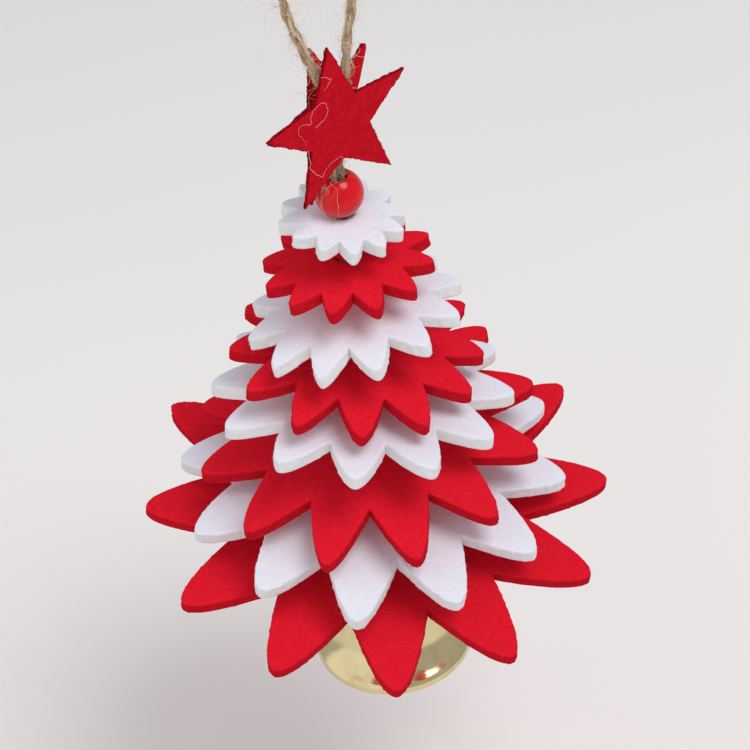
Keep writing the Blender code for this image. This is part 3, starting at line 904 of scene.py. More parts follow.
@dataclass
class FeltDisc(FeltPiece):
    """One round of twelve petals that leans and hangs on the twine.

    Attributes:
        droop_share: How far the tips droop, as a share of the radius.
        droop_start_share: Where the droop starts, as a share of the radius.
        fullness: How straight a petal's sides run; 1 is a plain curve.
        settle_deg: How much further it leans than its joint, up to the right and to the back.
        lifts: How far the tip of a petal curls up, by its number from +X; minus is down.
        uneven: How much the other petals' tips stray from even.
    """

    droop_share: float = 0.0
    droop_start_share: float = 0.30
    turn_deg: float = 0.0
    fullness: float = 1.06
    settle_deg: tuple[float, float] = (0.0, 0.0)
    lifts: dict[int, float] = field(default_factory=dict)
    uneven: float = 0.00025

    def half_outline(self) -> list[Vector]:
        """Return the side of a petal: its width grows as it runs in from the tip."""
        half = math.pi / self.lobes
        base = self.valley_radius * math.cos(half)
        width = self.valley_radius * math.sin(half)
        count = max(8, math.ceil((self.tip_radius - base + width) / self.grain))
        points = []
        for k in range(count + 1):
            share = 1 - k / count
            out = self.tip_radius - (self.tip_radius - base) * share ** 2
            points.append(Vector((out, -width * share ** self.fullness, 0)))
        return points

    def place(self) -> Matrix:
        """Return the lean of the frame's joint, settled a little further, and the disc's turn."""
        anchor, axis = joint_place(self.body)
        right, back = (math.tan(math.radians(angle)) for angle in self.settle_deg)
        normal = axis - Vector((right, back, 0))
        lean = UP.rotation_difference(normal).to_matrix().to_4x4()
        return Matrix.Translation(anchor) @ lean @ turn_z(self.turn_deg)

    def bend(self, bm: bmesh.types.BMesh) -> None:
        """Let the petals droop towards their tips, each a little in its own way."""
        dice = random.Random(self.seed * 13 + 3)
        lifts = [dice.uniform(-self.uneven, self.uneven) for _ in range(self.lobes)]
        for petal, lift in self.lifts.items():
            lifts[petal] = lift
        start = self.tip_radius * self.droop_start_share
        root = self.valley_radius * 0.9
        for vert in bm.verts:
            distance = math.hypot(vert.co.x, vert.co.y)
            share = max(0.0, (distance - start) / (self.tip_radius - start))
            vert.co.z -= self.droop_share * self.tip_radius * share ** 2
            petal = round(math.atan2(vert.co.y, vert.co.x) / (2 * math.pi) * self.lobes)
            out = max(0.0, (distance - root) / (self.tip_radius - root))
            vert.co.z += lifts[petal % self.lobes] * out ** 2

    def rests_on(self) -> list[str]:
        """Return the bead or the knot below the disc."""
        number = int(self.body.rsplit("_", 1)[1])
        return ["spacer_bead_%d" % number if number < DISC_COUNT else "stop_knot"]


@dataclass
class FeltStar(FeltPiece):
    """A five-pointed star cut from thin felt by hand.

    Attributes:
        azimuth_deg: The way it faces, from the front towards the right.
        shift: Its middle, to the right, to the back and up from the glued place on the twine.
        curl_start: Where its right side starts to roll back, or where it would.
        curl_radius: Radius of that roll, or None.
        tip_moves: How far right and up a tip lies from even, by its number from the top point,
            against the clock.
        notch_moves: The same for the notch after a tip.
        blunt_tips: How much of a tip is snipped off, by its number.
        clearance: Least gap to the bead that slides up behind the star, or None.
        snip_share: How far the felt past a snip is pressed back.
    """

    azimuth_deg: float = 0.0
    tilt_deg: float = 0.0
    shift: tuple[float, float, float] = (0.0, 0.0, 0.0)
    turn_deg: float = 0.0
    curl_start: float = 0.0
    curl_radius: Optional[float] = None
    tip_moves: dict[int, tuple[float, float]] = field(default_factory=dict)
    notch_moves: dict[int, tuple[float, float]] = field(default_factory=dict)
    blunt_tips: dict[int, float] = field(default_factory=dict)
    clearance: Optional[float] = None
    snip_share: float = 0.85

    def half_outline(self) -> list[Vector]:
        """Return the straight side of a point, rounded a little at its tip."""
        half = math.pi / self.lobes
        notch = Vector((math.cos(half), -math.sin(half), 0)) * self.valley_radius
        tip = Vector((self.tip_radius, 0, 0))
        count = max(8, math.ceil((tip - notch).length / self.grain))
        return [notch.lerp(tip, k / count) for k in range(count + 1)]

    def place(self) -> Matrix:
        """Return the place of the star, which faces -Y before its tilt and azimuth."""
        return (
            Matrix.Translation((0, 0, -STAR_DEPTH)) @ turn_z(self.azimuth_deg)
            @ Matrix.Rotation(-math.radians(self.tilt_deg), 4, "X")
            @ Matrix.Translation(self.shift)
        )

    def bend(self, bm: bmesh.types.BMesh) -> None:
        """Stand the star point up, turn it in its plane and roll its right side back."""
        depths = {vert: self.thick / 2 - vert.co.z for vert in bm.verts}
        self.shape_tips(bm)
        stand = Matrix.Rotation(math.radians(90.0), 4, "X") @ turn_z(90.0)
        turn = Matrix.Rotation(-math.radians(self.turn_deg), 4, "Y")
        bmesh.ops.transform(bm, matrix=turn @ stand, verts=bm.verts)
        if self.curl_radius is not None:
            for vert in bm.verts:
                angle = max(0.0, vert.co.x - self.curl_start) / self.curl_radius
                if angle > 0:
                    arm = self.curl_radius - vert.co.y
                    vert.co.x = self.curl_start + arm * math.sin(angle)
                    vert.co.y = self.curl_radius - arm * math.cos(angle)
        if self.clearance is not None:
            self.clear_bead(depths)

    def shape_tips(self, bm: bmesh.types.BMesh) -> None:
        """Snip the blunt tips of the flat star and move the uneven ones."""
        for vert in bm.verts:
            angle = math.atan2(vert.co.y, vert.co.x)
            tip = round(angle / (2 * math.pi) * self.lobes)
            out = turn_z(360.0 * tip / self.lobes) @ Vector((1, 0, 0))
            tip %= self.lobes
            reach = vert.co.dot(out)
            past = reach - (self.tip_radius - self.blunt_tips.get(tip, 0.0))
            if past > 0:
                vert.co -= out * past * self.snip_share
            right, up = self.tip_moves.get(tip, (0.0, 0.0))
            share = max(0.0, (reach - self.valley_radius) / (self.tip_radius - self.valley_radius))
            move = Vector((up, -right, 0)) * share
            beside = angle / (2 * math.pi) * self.lobes - 0.5
            right, up = self.notch_moves.get(round(beside) % self.lobes, (0.0, 0.0))
            share = math.sqrt(max(0.0, 1 - 2 * abs(beside - round(beside))))
            share *= min(1.0, vert.co.xy.length / self.valley_radius)
            vert.co += move + Vector((up, -right, 0)) * share

    def clear_bead(self, depths: dict[bmesh.types.BMVert, float]) -> None:
        """Bend the felt back round the bead's whole way up the twine.

        Args:
            depths: How far each point lies behind the felt's inner face.
        """
        inwards = self.place().inverted()
        joint = next(j for j in frame["joints"] if j["child"] == "red_bead")
        start = inwards @ (middle_of("red_bead") + UP * RED_BEAD_RISE)
        way = inwards.to_3x3() @ (UP * joint["range_m"][1])
        for vert, depth in depths.items():
            radius = RED_BEAD_DIA / 2 + self.clearance + depth
            share = min(max((vert.co - start).dot(way) / way.length_squared, 0.0), 1.0)
            arm = vert.co - start - way * share
            if arm.length < radius:
                vert.co.y += math.sqrt(arm.y ** 2 - arm.length_squared + radius ** 2) - arm.y

    def close_middle(self, bm: bmesh.types.BMesh) -> None:
        """Fill the star's middle."""
        rim = [
            edge for edge in bm.edges if edge.is_boundary
            and edge.verts[0].co.length < self.inner_radius * 1.5
        ]
        bmesh.ops.contextual_create(bm, geom=rim)

    def rests_on(self) -> list[str]:
        """Return the glue that holds the star."""
        return ["glue_dab"]


@dataclass
class FeltTree:
    """All felt of the tree: eight discs, numbered from the top, and two stars.

    Attributes:
        growth_shares: Share of the growth from top to bottom that each disc has.
        valley_shares: Radius of each disc's notches as a share of its tips'.
        droop_shares: Droop of each disc's tips as a share of its radius.
        petal_lifts: Curl of single petals of each disc, by their number.
    """

    thick: float = 0.0032
    petals: int = 12
    top_radius: float = 0.0133
    bottom_radius: float = 0.0520
    growth_shares: tuple[float, ...] = (0.0, 0.131, 0.262, 0.368, 0.51, 0.643, 0.77, 1.0)
    valley_shares: tuple[float, ...] = (0.72, 0.69, 0.70, 0.68, 0.69, 0.66, 0.685, 0.635)
    droop_shares: tuple[float, ...] = (0.045, 0.09, 0.16, 0.135, 0.075, 0.087, 0.085, 0.0)
    turns_deg: tuple[float, ...] = (7.2, 16.1, 8.2, 27.8, 23.0, 10.9, 20.7, 29.6)
    settles_deg: tuple[tuple[float, float], ...] = (
        (-0.3, -0.9), (-0.1, 0.2), (0.0, -0.6), (-0.6, -0.3),
        (0.0, -0.1), (0.0, 0.0), (-0.7, 0.1), (-1.1, 1.1),
    )
    petal_lifts: tuple[dict[int, float], ...] = (
        {0: -0.0012, 5: -0.0008, 6: -0.0006, 7: 0.0008, 8: 0.0005},
        {0: 0.0006, 7: 0.0006, 8: 0.0004, 11: 0.0004},
        {5: 0.0006, 9: 0.0004, 10: 0.0007},
        {0: 0.0018, 6: 0.0006, 10: 0.0005, 11: -0.0006},
        {0: -0.0005, 5: -0.0012, 7: 0.0008, 8: 0.0008, 9: 0.0009},
        {5: -0.0008, 7: -0.0004, 8: -0.0012, 9: -0.0012, 10: -0.0006},
        {5: -0.0014, 6: -0.0005, 7: 0.0006, 8: -0.0012},
        {0: 0.0009, 4: 0.0020, 10: 0.0010},
    )
    white_discs: tuple[int, ...] = (1, 3, 5, 7)
    star_radius: float = 0.0184
    star_notch_radius: float = 0.0078

    def build(self) -> None:
        """Cut and place every piece of felt."""
        rows = zip(
            self.growth_shares, self.valley_shares, self.droop_shares, self.turns_deg,
            self.settles_deg, self.petal_lifts,
        )
        for number, (growth, valley, droop, turn, settle, lifts) in enumerate(rows, 1):
            radius = self.top_radius + (self.bottom_radius - self.top_radius) * growth
            FeltDisc(
                node="felt_disc_%d" % number, body="disc_%d" % number,
                felt=Felt.WHITE if number in self.white_discs else Felt.RED,
                lobes=self.petals, tip_radius=radius, valley_radius=radius * valley,
                thick=self.thick, inner_radius=DISC_HOLE_RADIUS, droop_share=droop,
                turn_deg=turn, settle_deg=settle, lifts=lifts, seed=number,
            ).build()
        # The stars' rim share paints the cut's shade onto the edge of their faces as a dark
        # outline.
        star = partial(
            FeltStar, body="twine", felt=Felt.THIN_RED, lobes=5, tip_radius=self.star_radius,
            valley_radius=self.star_notch_radius, thick=STAR_THICK, soft=0.0002, wall_cuts=2,
            grain=0.0004, rags=((0.00022, 0.0012), (0.00016, 0.0005)), rim_share=0.75,
        )
        star(
            node="front_star", azimuth_deg=FRONT_STAR_AZIMUTH_DEG,
            shift=(0.0, -FRONT_STAR_STANDOFF, -0.0007), seed=21,
            tip_moves={0: (-0.0005, 0.0015), 1: (-0.0001, -0.0004), 2: (0.0, -0.0003),
                       3: (0.0007, -0.0012), 4: (-0.0003, 0.0)},
            notch_moves={0: (-0.0009, 0.0016)},
        ).build()
        star(
            node="back_star", azimuth_deg=44.0, tilt_deg=3.9, shift=(0.0020, 0.0024, -0.0024),
            turn_deg=5.7, curl_start=-0.0032, curl_radius=0.059, seed=22,
            tip_moves={1: (0.0006, 0.0001), 4: (0.0012, 0.0012)}, blunt_tips={4: 0.0022},
            clearance=0.00025,
        ).build()


@dataclass
class Twine:
    """Two plies of jute laid round each other along a route.

    Attributes:
        diameter: Diameter of the round that holds both plies.
        lay_length: Length of one turn of the lay.
        twist_length: Length of one turn of a ply about itself.
        ply_share: Diameter of a ply as a share of the twine's.
        fray: How uneven a ply's surface is.
        strand_scale: Fibre bundles round a ply.
        strand_run: Length of a bundle before it dips.
    """

    diameter: float
    lay_length: float = 0.0128
    twist_length: float = 0.021
    ply_share: float = 0.63
    step: float = 0.00035
    segments: int = 20
    fray: float = 0.50
    strand_scale: float = 1.9
    strand_run: float = 0.0042

    def plies(self, bm: bmesh.types.BMesh, route: Sequence[Vector], phase: float = 0.0) -> None:
        """Lay the plies along a route.

        Args:
            bm: The mesh to add to.
            route: The centreline in fine steps.
            phase: Turn of the lay at its start.
        """
        lay = bm.verts.layers.float_vector.get("lay") or bm.verts.layers.float_vector.new("lay")
        radius = self.diameter * self.ply_share / 2
        offset = self.diameter / 2 - radius
        frames = frames_along(route)
        along = [0.0]
        for a, b in zip(route, route[1:]):
            along.append(along[-1] + (b - a).length)
        for ply in range(2):
            points = []
            for matrix, run in zip(frames, along):
                angle = phase + math.pi * ply + 2 * math.pi * run / self.lay_length
                points.append(matrix @ (Vector((math.cos(angle), math.sin(angle), 0)) * offset))
            ply_frames = frames_along(points)
            rings = sweep(bm, ply_frames, radius, self.segments)
            for ring, matrix, run in zip(rings, ply_frames, along):
                twist = 2 * math.pi * run / self.twist_length
                for k, vert in enumerate(ring):
                    angle = 2 * math.pi * k / self.segments + twist
                    across = Vector((math.cos(angle), math.sin(angle), 0))
                    strand = noise.noise(
                        across * self.strand_scale + UP * (run / self.strand_run + 9 * ply))
                    centre = matrix.translation
                    vert.co = centre + (vert.co - centre) * (1 + self.fray * strand)
                    vert[lay] = across * radius + UP * (run + ply)


@dataclass
class HangingLoop:
    """The loop that the tree hangs by.

    Attributes:
        sides: How far each point of the route lies to the side.
        depth_shares: How deep each point lies, as a share of the stars' depth.
        hair_crops: Count, longest length and seed of each crop of hairs on the whole loop.
        free_crop: The same for the long hairs well over the stars.
        free_share: Where those end, as a share of the stars' depth.
        star_top: How far over the stars' middle a hair is kept out of the front star.
    """

    twine: Twine
    sides: tuple[float, ...] = (
        -STRAND_SPREAD, -0.0008, -0.0010, -0.0021, -0.0038,
        -0.0055, -0.0069, -0.0079, -0.0082, -0.0068, -0.0037, 0.0, 0.0040,
        0.0079, 0.0099, 0.0103, 0.0099, 0.0089, 0.0077, 0.0067,
        0.0061, 0.0051, 0.0034, 0.0018, STRAND_SPREAD,
    )
    depth_shares: tuple[float, ...] = (
        1.0, 0.9356, 0.8498, 0.7511, 0.6481,
        0.5279, 0.4270, 0.3112, 0.1996, 0.0815, 0.0043, -0.0215, 0.0,
        0.0751, 0.1931, 0.3155, 0.4292, 0.5365, 0.6180, 0.6996,
        0.7725, 0.8369, 0.8970, 0.9485, 1.0,
    )
    hair_crops: tuple[tuple[int, float, int], ...] = ((1100, 0.0028, 31), (330, 0.0090, 34))
    free_crop: tuple[int, float, int] = (70, 0.0150, 35)
    free_share: float = 0.52
    star_top: float = 0.0200
    hair_radius: float = 0.000036

    def route(self) -> list[Vector]:
        """Return the loop's centreline in fine steps."""
        turn = turn_z(TWINE_AZIMUTH_DEG)
        points = [
            turn @ Vector((side, 0, -share * STAR_DEPTH))
            for side, share in zip(self.sides, self.depth_shares)
        ]
        return smooth_route(points, self.twine.step)

    def passes_star(self, strand: Sequence[Vector]) -> bool:
        """Return whether a hair stays behind the front star's felt, beside its points."""
        facing = turn_z(-FRONT_STAR_AZIMUTH_DEG)
        felt = -FRONT_STAR_STANDOFF + STAR_THICK / 2
        return all(
            (facing @ point).y > felt for point in strand
            if point.z < -STAR_DEPTH + self.star_top
        )

    def build(self) -> None:
        """Build the loop and its stray hairs."""
        route = self.route()
        bm = bmesh.new()
        self.twine.plies(bm, route)
        piece = dressed("hanging_loop_plies", bm, JUTE, "twine", ["hanging_loop"])
        free = [p for p in route if p.z > -self.free_share * STAR_DEPTH]
        crops = [(route, *crop) for crop in self.hair_crops] + [(free, *self.free_crop)]
        strands = [
            strand for stretch, *crop in crops
            for strand in twine_hairs(stretch, self.twine.diameter, *crop)
            if self.passes_star(strand)
        ]
        fuzz = hairs(
            "hanging_loop_hairs", strands, self.hair_radius, JUTE_HAIRS, "twine")


def twine_hairs(route: Sequence[Vector], diameter: float, count: int, longest: float,
                seed: int) -> list[list[Vector]]:
    """Grow stray hairs out of a stretch of twine.

    Args:
        route: The twine's centreline.
        diameter: The twine's diameter.
        count: Number of hairs.
        longest: Length of the longest one.
        seed: Seed of the draws.

    Returns:
        The points of each hair.
    """
    dice = random.Random(seed)
    frames = frames_along(route)
    strands = []
    for _ in range(count):
        matrix = dice.choice(frames)
        angle = dice.uniform(0, 2 * math.pi)
        out = matrix.to_3x3() @ Vector((math.cos(angle), math.sin(angle), 0))
        forward = matrix.to_3x3() @ Vector((0, 0, dice.choice((-1, 1))))
        start = matrix.translation + out * diameter * 0.42
        heading = out * dice.uniform(0.15, 0.9) + forward * dice.uniform(0.4, 1.6)
        length = longest * dice.uniform(0.25, 1.0)
        strands.append(curl(start, heading, length, 9, 0.80, dice))
    return strands


@dataclass
class Stem:
    """The doubled twine under the stars, with its stop knot and the bight that holds the bell.

    Attributes:
        notch_radius: How far under the stars' middle the strands lie side by side.
        bight_drop: How far the bight hangs under the knot.
        hairy_span: Lowest and highest point that shows hairs.
        hair_crop: Count, longest length and seed of the hairs on that stretch.
        knot_crop: The same for the knot.
    """

    twine: Twine
    notch_radius: float = 0.0078
    bight_radius: float = 0.0022
    bight_drop: float = 0.0054
    knot_turns: float = 2.5
    turn_gap: float = 0.00045
    hairy_span: tuple[float, float] = (-0.0615, -0.0510)
    hair_crop: tuple[int, float, int] = (320, 0.0032, 32)
    knot_crop: tuple[int, float, int] = (70, 0.0030, 33)
    hair_radius: float = 0.000030

    def knot_bottom(self) -> float:
        """Return the height of the knot's lowest point."""
        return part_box("stop_knot")[0].z

    def route(self) -> list[Vector]:
        """Return the stem's centreline, down one strand and up the other."""
        bottom = self.knot_bottom() - self.bight_drop
        centre = bottom + self.bight_radius
        top = -STAR_DEPTH - SEAT_GAP
        half = [
            Vector((-STRAND_SPREAD, 0, top)),
            Vector((-STRAND_SPREAD, 0, top - 2 * PULLED_TWINE_DIA)),
            Vector((-STRAND_OFFSET, 0, -STAR_DEPTH - self.notch_radius)),
            Vector((-STRAND_OFFSET, 0, self.knot_bottom())),
            Vector((-self.bight_radius, 0, centre + PULLED_TWINE_DIA / 2)),
        ]
        for k in range(1, 6):
            angle = math.pi * k / 6
            half.append(Vector((
                -self.bight_radius * math.cos(angle), 0,
                centre - self.bight_radius * math.sin(angle),
            )))
        half += [Vector((-p.x, 0, p.z)) for p in reversed(half[:5])]
        turn = turn_z(TWINE_AZIMUTH_DEG)
        return [turn @ p for p in smooth_route(half, self.twine.step)]

    def knot_route(self) -> list[Vector]:
        """Return the centreline of the knot's turns."""
        radius = PAIR_RADIUS + SEAT_GAP + PULLED_TWINE_DIA / 2
        pitch = PULLED_TWINE_DIA + self.turn_gap
        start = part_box("stop_knot")[1].z - PULLED_TWINE_DIA / 2
        count = math.ceil(self.knot_turns * 2 * math.pi * radius / self.twine.step)
        points = []
        for k in range(count + 1):
            turn = self.knot_turns * k / count
            angle = 2 * math.pi * turn
            points.append(Vector((
                radius * math.cos(angle), radius * math.sin(angle), start - pitch * turn)))
        return points

    def build(self) -> None:
        """Build the stem, the knot and their stray hairs."""
        bm = bmesh.new()
        route = self.route()
        self.twine.plies(bm, route)
        dressed("stem_plies", bm, JUTE, "twine", ["stem_twine"])
        bm = bmesh.new()
        knot = self.knot_route()
        self.twine.plies(bm, knot)
        dressed("stop_knot_plies", bm, JUTE, "twine", ["stop_knot"])
        low, high = self.hairy_span
        shown = [p for p in route if low < p.z < high]
        strands = twine_hairs(shown, PULLED_TWINE_DIA, *self.hair_crop)
        strands += twine_hairs(knot, PULLED_TWINE_DIA, *self.knot_crop)
        hairs("stem_hairs", strands, self.hair_radius, JUTE_HAIRS, "twine")


@dataclass
class Bead:
    """A turned and painted wooden bead with a bore for both strands.

    Attributes:
        rise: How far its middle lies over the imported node's.
    """

    node: str
    body: str
    diameter: float
    finish: object
    slot: str
    rise: float = 0.0
    arc_steps: int = 26
    steps: int = 56
    bore_edge: float = 0.00035

    def build(self) -> None:
        """Turn the bead."""
        radius = self.diameter / 2
        start = math.asin((BORE_RADIUS + self.bore_edge) / radius)
        top = radius * math.cos(start)
        profile = [(BORE_RADIUS, -top + self.bore_edge), (BORE_RADIUS, top - self.bore_edge)]
        for k in range(1, 5):
            angle = math.pi / 2 * k / 5
            profile.append((
                BORE_RADIUS + self.bore_edge * (1 - math.cos(angle)),
                top - self.bore_edge * (1 - math.sin(angle)),
            ))
        arc = [
            start + (math.pi - 2 * start) * k / self.arc_steps for k in range(self.arc_steps + 1)]
        profile += [(radius * math.sin(a), radius * math.cos(a)) for a in arc]
        profile += [(r, -z) for r, z in reversed(profile[2:6])]
        bm = spun(profile, self.steps, closed=True)
        centre = middle_of(self.node) + UP * self.rise
        bmesh.ops.translate(bm, verts=bm.verts, vec=centre)
        dressed(self.node + "_turned", bm, self.finish, self.body, [self.node])


@dataclass
class Bell:
    """The brass bell with its wire hanger and its clapper.

    Attributes:
        shoulder_share: Where the crown's flat ends, as a share of the first profile point.
        profile_shares: Radius and height along the outside, as shares of rim and height.
        pinch_deg: Half the gap in a round of the hanger, where its legs run out.
        shoulder: Length of the bend from a leg to a round.
        clapper_eye_deg: Angles between which the eye is bent.
        clapper_length: From the pivot to the middle of the ball.
        clapper_socket: Depth of the wire in the ball.
    """

    rim_radius: float = 0.0184
    height: float = 0.0270
    wall: float = 0.0008
    lip_height: float = 0.0017
    shoulder_share: float = 0.60
    profile_shares: tuple[tuple[float, float], ...] = (
        (0.335, 0.945), (0.490, 0.850), (0.575, 0.715), (0.620, 0.560),
        (0.665, 0.410), (0.735, 0.265), (0.850, 0.150), (0.965, 0.085),
    )
    eye_radius: float = 0.0026
    hook_radius: float = 0.0020
    pinch_deg: float = 30.0
    leg_gap: float = 0.0004
    shoulder: float = 0.0007
    clapper_wire_dia: float = 0.0008
    clapper_eye_radius: float = 0.0016
    clapper_eye_deg: tuple[float, float] = (255.0, -60.0)
    clapper_length: float = 0.0125
    clapper_ball_dia: float = 0.0064
    clapper_socket: float = 0.0020
    steps: int = 96

    def profile(self) -> list[tuple[float, float]]:
        """Return the closed profile of the shell, over the rim."""
        hole = self.leg_gap / 2 + HANGER_WIRE_DIA + SEAT_GAP
        shares = self.profile_shares
        knots = [Vector((shares[0][0] * self.rim_radius * self.shoulder_share, 0, self.height))]
        knots += [Vector((r * self.rim_radius, 0, h * self.height)) for r, h in shares]
        curve = smooth_route(knots, 0.0006)
        outer = [Vector((hole, 0, self.height))] + curve
        outer.append(Vector((self.rim_radius - 0.00025, 0, self.lip_height + 0.00018)))
        outer.append(Vector((self.rim_radius, 0, self.lip_height - 0.0001)))
        inner = []
        for i, point in enumerate(outer):
            before, after = outer[max(i - 1, 0)], outer[min(i + 1, len(outer) - 1)]
            run = (after - before).normalized()
            inner.append(Vector((point.x + run.z * self.wall, 0, point.z - run.x * self.wall)))
        inner[0] = outer[0] - Vector((0, 0, self.wall))
        inner[-1] = Vector((self.rim_radius - self.wall, 0, self.lip_height - self.wall))
        edge = 0.00018
        foot = [
            Vector((self.rim_radius, 0, edge)),
            Vector((self.rim_radius - edge * 0.3, 0, edge * 0.3)),
            Vector((self.rim_radius - edge, 0, 0)),
            Vector((self.rim_radius - self.wall + edge, 0, 0)),
            Vector((self.rim_radius - self.wall, 0, edge)),
        ]
        return [(p.x, p.z) for p in outer + foot + inner[::-1]]

    def lobe(self, radius: float, centre: float, first: float, last: float) -> list[Vector]:
        """Return a round of wire in the XZ plane between two angles in degrees."""
        angles = [math.radians(first + (last - first) * k / 16) for k in range(17)]
        return [Vector((radius * math.cos(a), 0, centre + radius * math.sin(a))) for a in angles]

    def eye_centre(self) -> float:
        """Return the hanger's eye over the pivot, which is the middle of the twine."""
        return PULLED_TWINE_DIA / 2 + SEAT_GAP + HANGER_WIRE_DIA / 2 - self.eye_radius

    def crown_height(self) -> float:
        """Return the top of the crown over the pivot."""
        foot = self.eye_centre() - self.eye_radius * math.cos(math.radians(self.pinch_deg))
        return foot - self.shoulder - HANGER_WIRE_DIA / 2

    def hook_centre(self) -> float:
        """Return the hanger's inner hook over the pivot."""
        head = self.hook_radius * math.cos(math.radians(self.pinch_deg))
        return self.crown_height() - self.wall - HANGER_WIRE_DIA / 2 - self.shoulder - head

    def build(self) -> None:
        """Build the shell, the hanger and the clapper."""
        pivot = joint_place("bell")[0]
        bm = spun(self.profile(), self.steps, closed=True)
        crown = pivot.z + self.crown_height() - self.height
        bmesh.ops.translate(bm, verts=bm.verts, vec=(0, 0, crown))
        dressed("bell_shell_spun", bm, BRASS, "bell", ["bell_shell"])
        leg = (self.leg_gap + HANGER_WIRE_DIA) / 2
        top = self.crown_height() + HANGER_WIRE_DIA / 2
        low = self.crown_height() - self.wall - HANGER_WIRE_DIA / 2
        pinch = self.pinch_deg
        points = self.lobe(self.eye_radius, self.eye_centre(), pinch - 90, 270 - pinch)
        points += [Vector((-leg, 0, top)), Vector((-leg, 0, low))]
        points += self.lobe(self.hook_radius, self.hook_centre(), 90 + pinch, 450 - pinch)
        points += [Vector((leg, 0, low)), Vector((leg, 0, top))]
        self.wire("bell_hanger_wire", points, True, HANGER_WIRE_DIA, pivot,
                  TWINE_AZIMUTH_DEG + 90.0, BRASS, "bell", "bell_hanger")
        self.build_clapper()

    def wire(self, name: str, points: list[Vector], cyclic: bool, diameter: float, pivot: Vector,
             azimuth: float, finish, body: str, node: str) -> None:
        """Bend one wire.

        Args:
            name: Name of the piece.
            points: Its route round the pivot in the XZ plane.
            cyclic: Whether it closes on itself.
            diameter: Its diameter.
            pivot: The pivot's place.
            azimuth: Turn of its plane in degrees.
            finish: The finish that it wears.
            body: The body that it rides on.
            node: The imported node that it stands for.
        """
        place = Matrix.Translation(pivot) @ turn_z(azimuth)
        route = [place @ p for p in smooth_route(points, 0.0004, cyclic)]
        bm = bmesh.new()
        sweep(bm, frames_along(route, cyclic), diameter / 2, 16, cyclic)
        dressed(name, bm, finish, body, [node])

    def build_clapper(self) -> None:
        """Build the clapper's wire and ball."""
        pivot = joint_place("clapper")[0]
        rise = (HANGER_WIRE_DIA + self.clapper_wire_dia) / 2 + SEAT_GAP
        centre = rise - self.clapper_eye_radius
        ball_top = -self.clapper_length + self.clapper_ball_dia / 2
        neck = centre - self.clapper_eye_radius - self.clapper_wire_dia
        foot = ball_top - self.clapper_socket + SEAT_GAP
        points = self.lobe(self.clapper_eye_radius, centre, *self.clapper_eye_deg)
        points += [Vector((0, 0, neck - self.clapper_wire_dia)), Vector((0, 0, foot))]
        self.wire("clapper_wire", points, False, self.clapper_wire_dia, pivot,
                  TWINE_AZIMUTH_DEG, STEEL, "clapper", "clapper_rod")
        radius = self.clapper_ball_dia / 2
        socket = self.clapper_wire_dia / 2 + SEAT_GAP
        start = math.asin(socket / radius)
        profile = [(0.0, radius - self.clapper_socket), (socket, radius - self.clapper_socket)]
        for k in range(25):
            angle = start + (math.pi - start) * k / 24
            profile.append((radius * math.sin(angle), radius * math.cos(angle)))
        bm = spun(profile, 40, closed=False)
        bmesh.ops.translate(bm, verts=bm.verts, vec=pivot - UP * self.clapper_length)
        dressed("clapper_ball_turned", bm, STEEL, "clapper", ["clapper_ball"])


@dataclass
class GlueDab:
    """Set glue pressed between the two stars."""

    spans: tuple[float, float] = (0.0030, 0.0040)

    def build(self) -> None:
        """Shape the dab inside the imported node's box."""
        low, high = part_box("glue_dab")
        bm = bmesh.new()
        bmesh.ops.create_icosphere(bm, subdivisions=4, radius=0.5)
        bmesh.ops.scale(bm, vec=(*self.spans, (high - low).z), verts=bm.verts)
        bmesh.ops.transform(bm, matrix=turn_z(TWINE_AZIMUTH_DEG), verts=bm.verts)
        bmesh.ops.translate(bm, verts=bm.verts, vec=(low + high) / 2)
        roughen(bm, bm.verts, 0.00025, 0.0016, 3.0)
        dressed("glue_dab_set", bm, GLUE, "twine", ["glue_dab"])


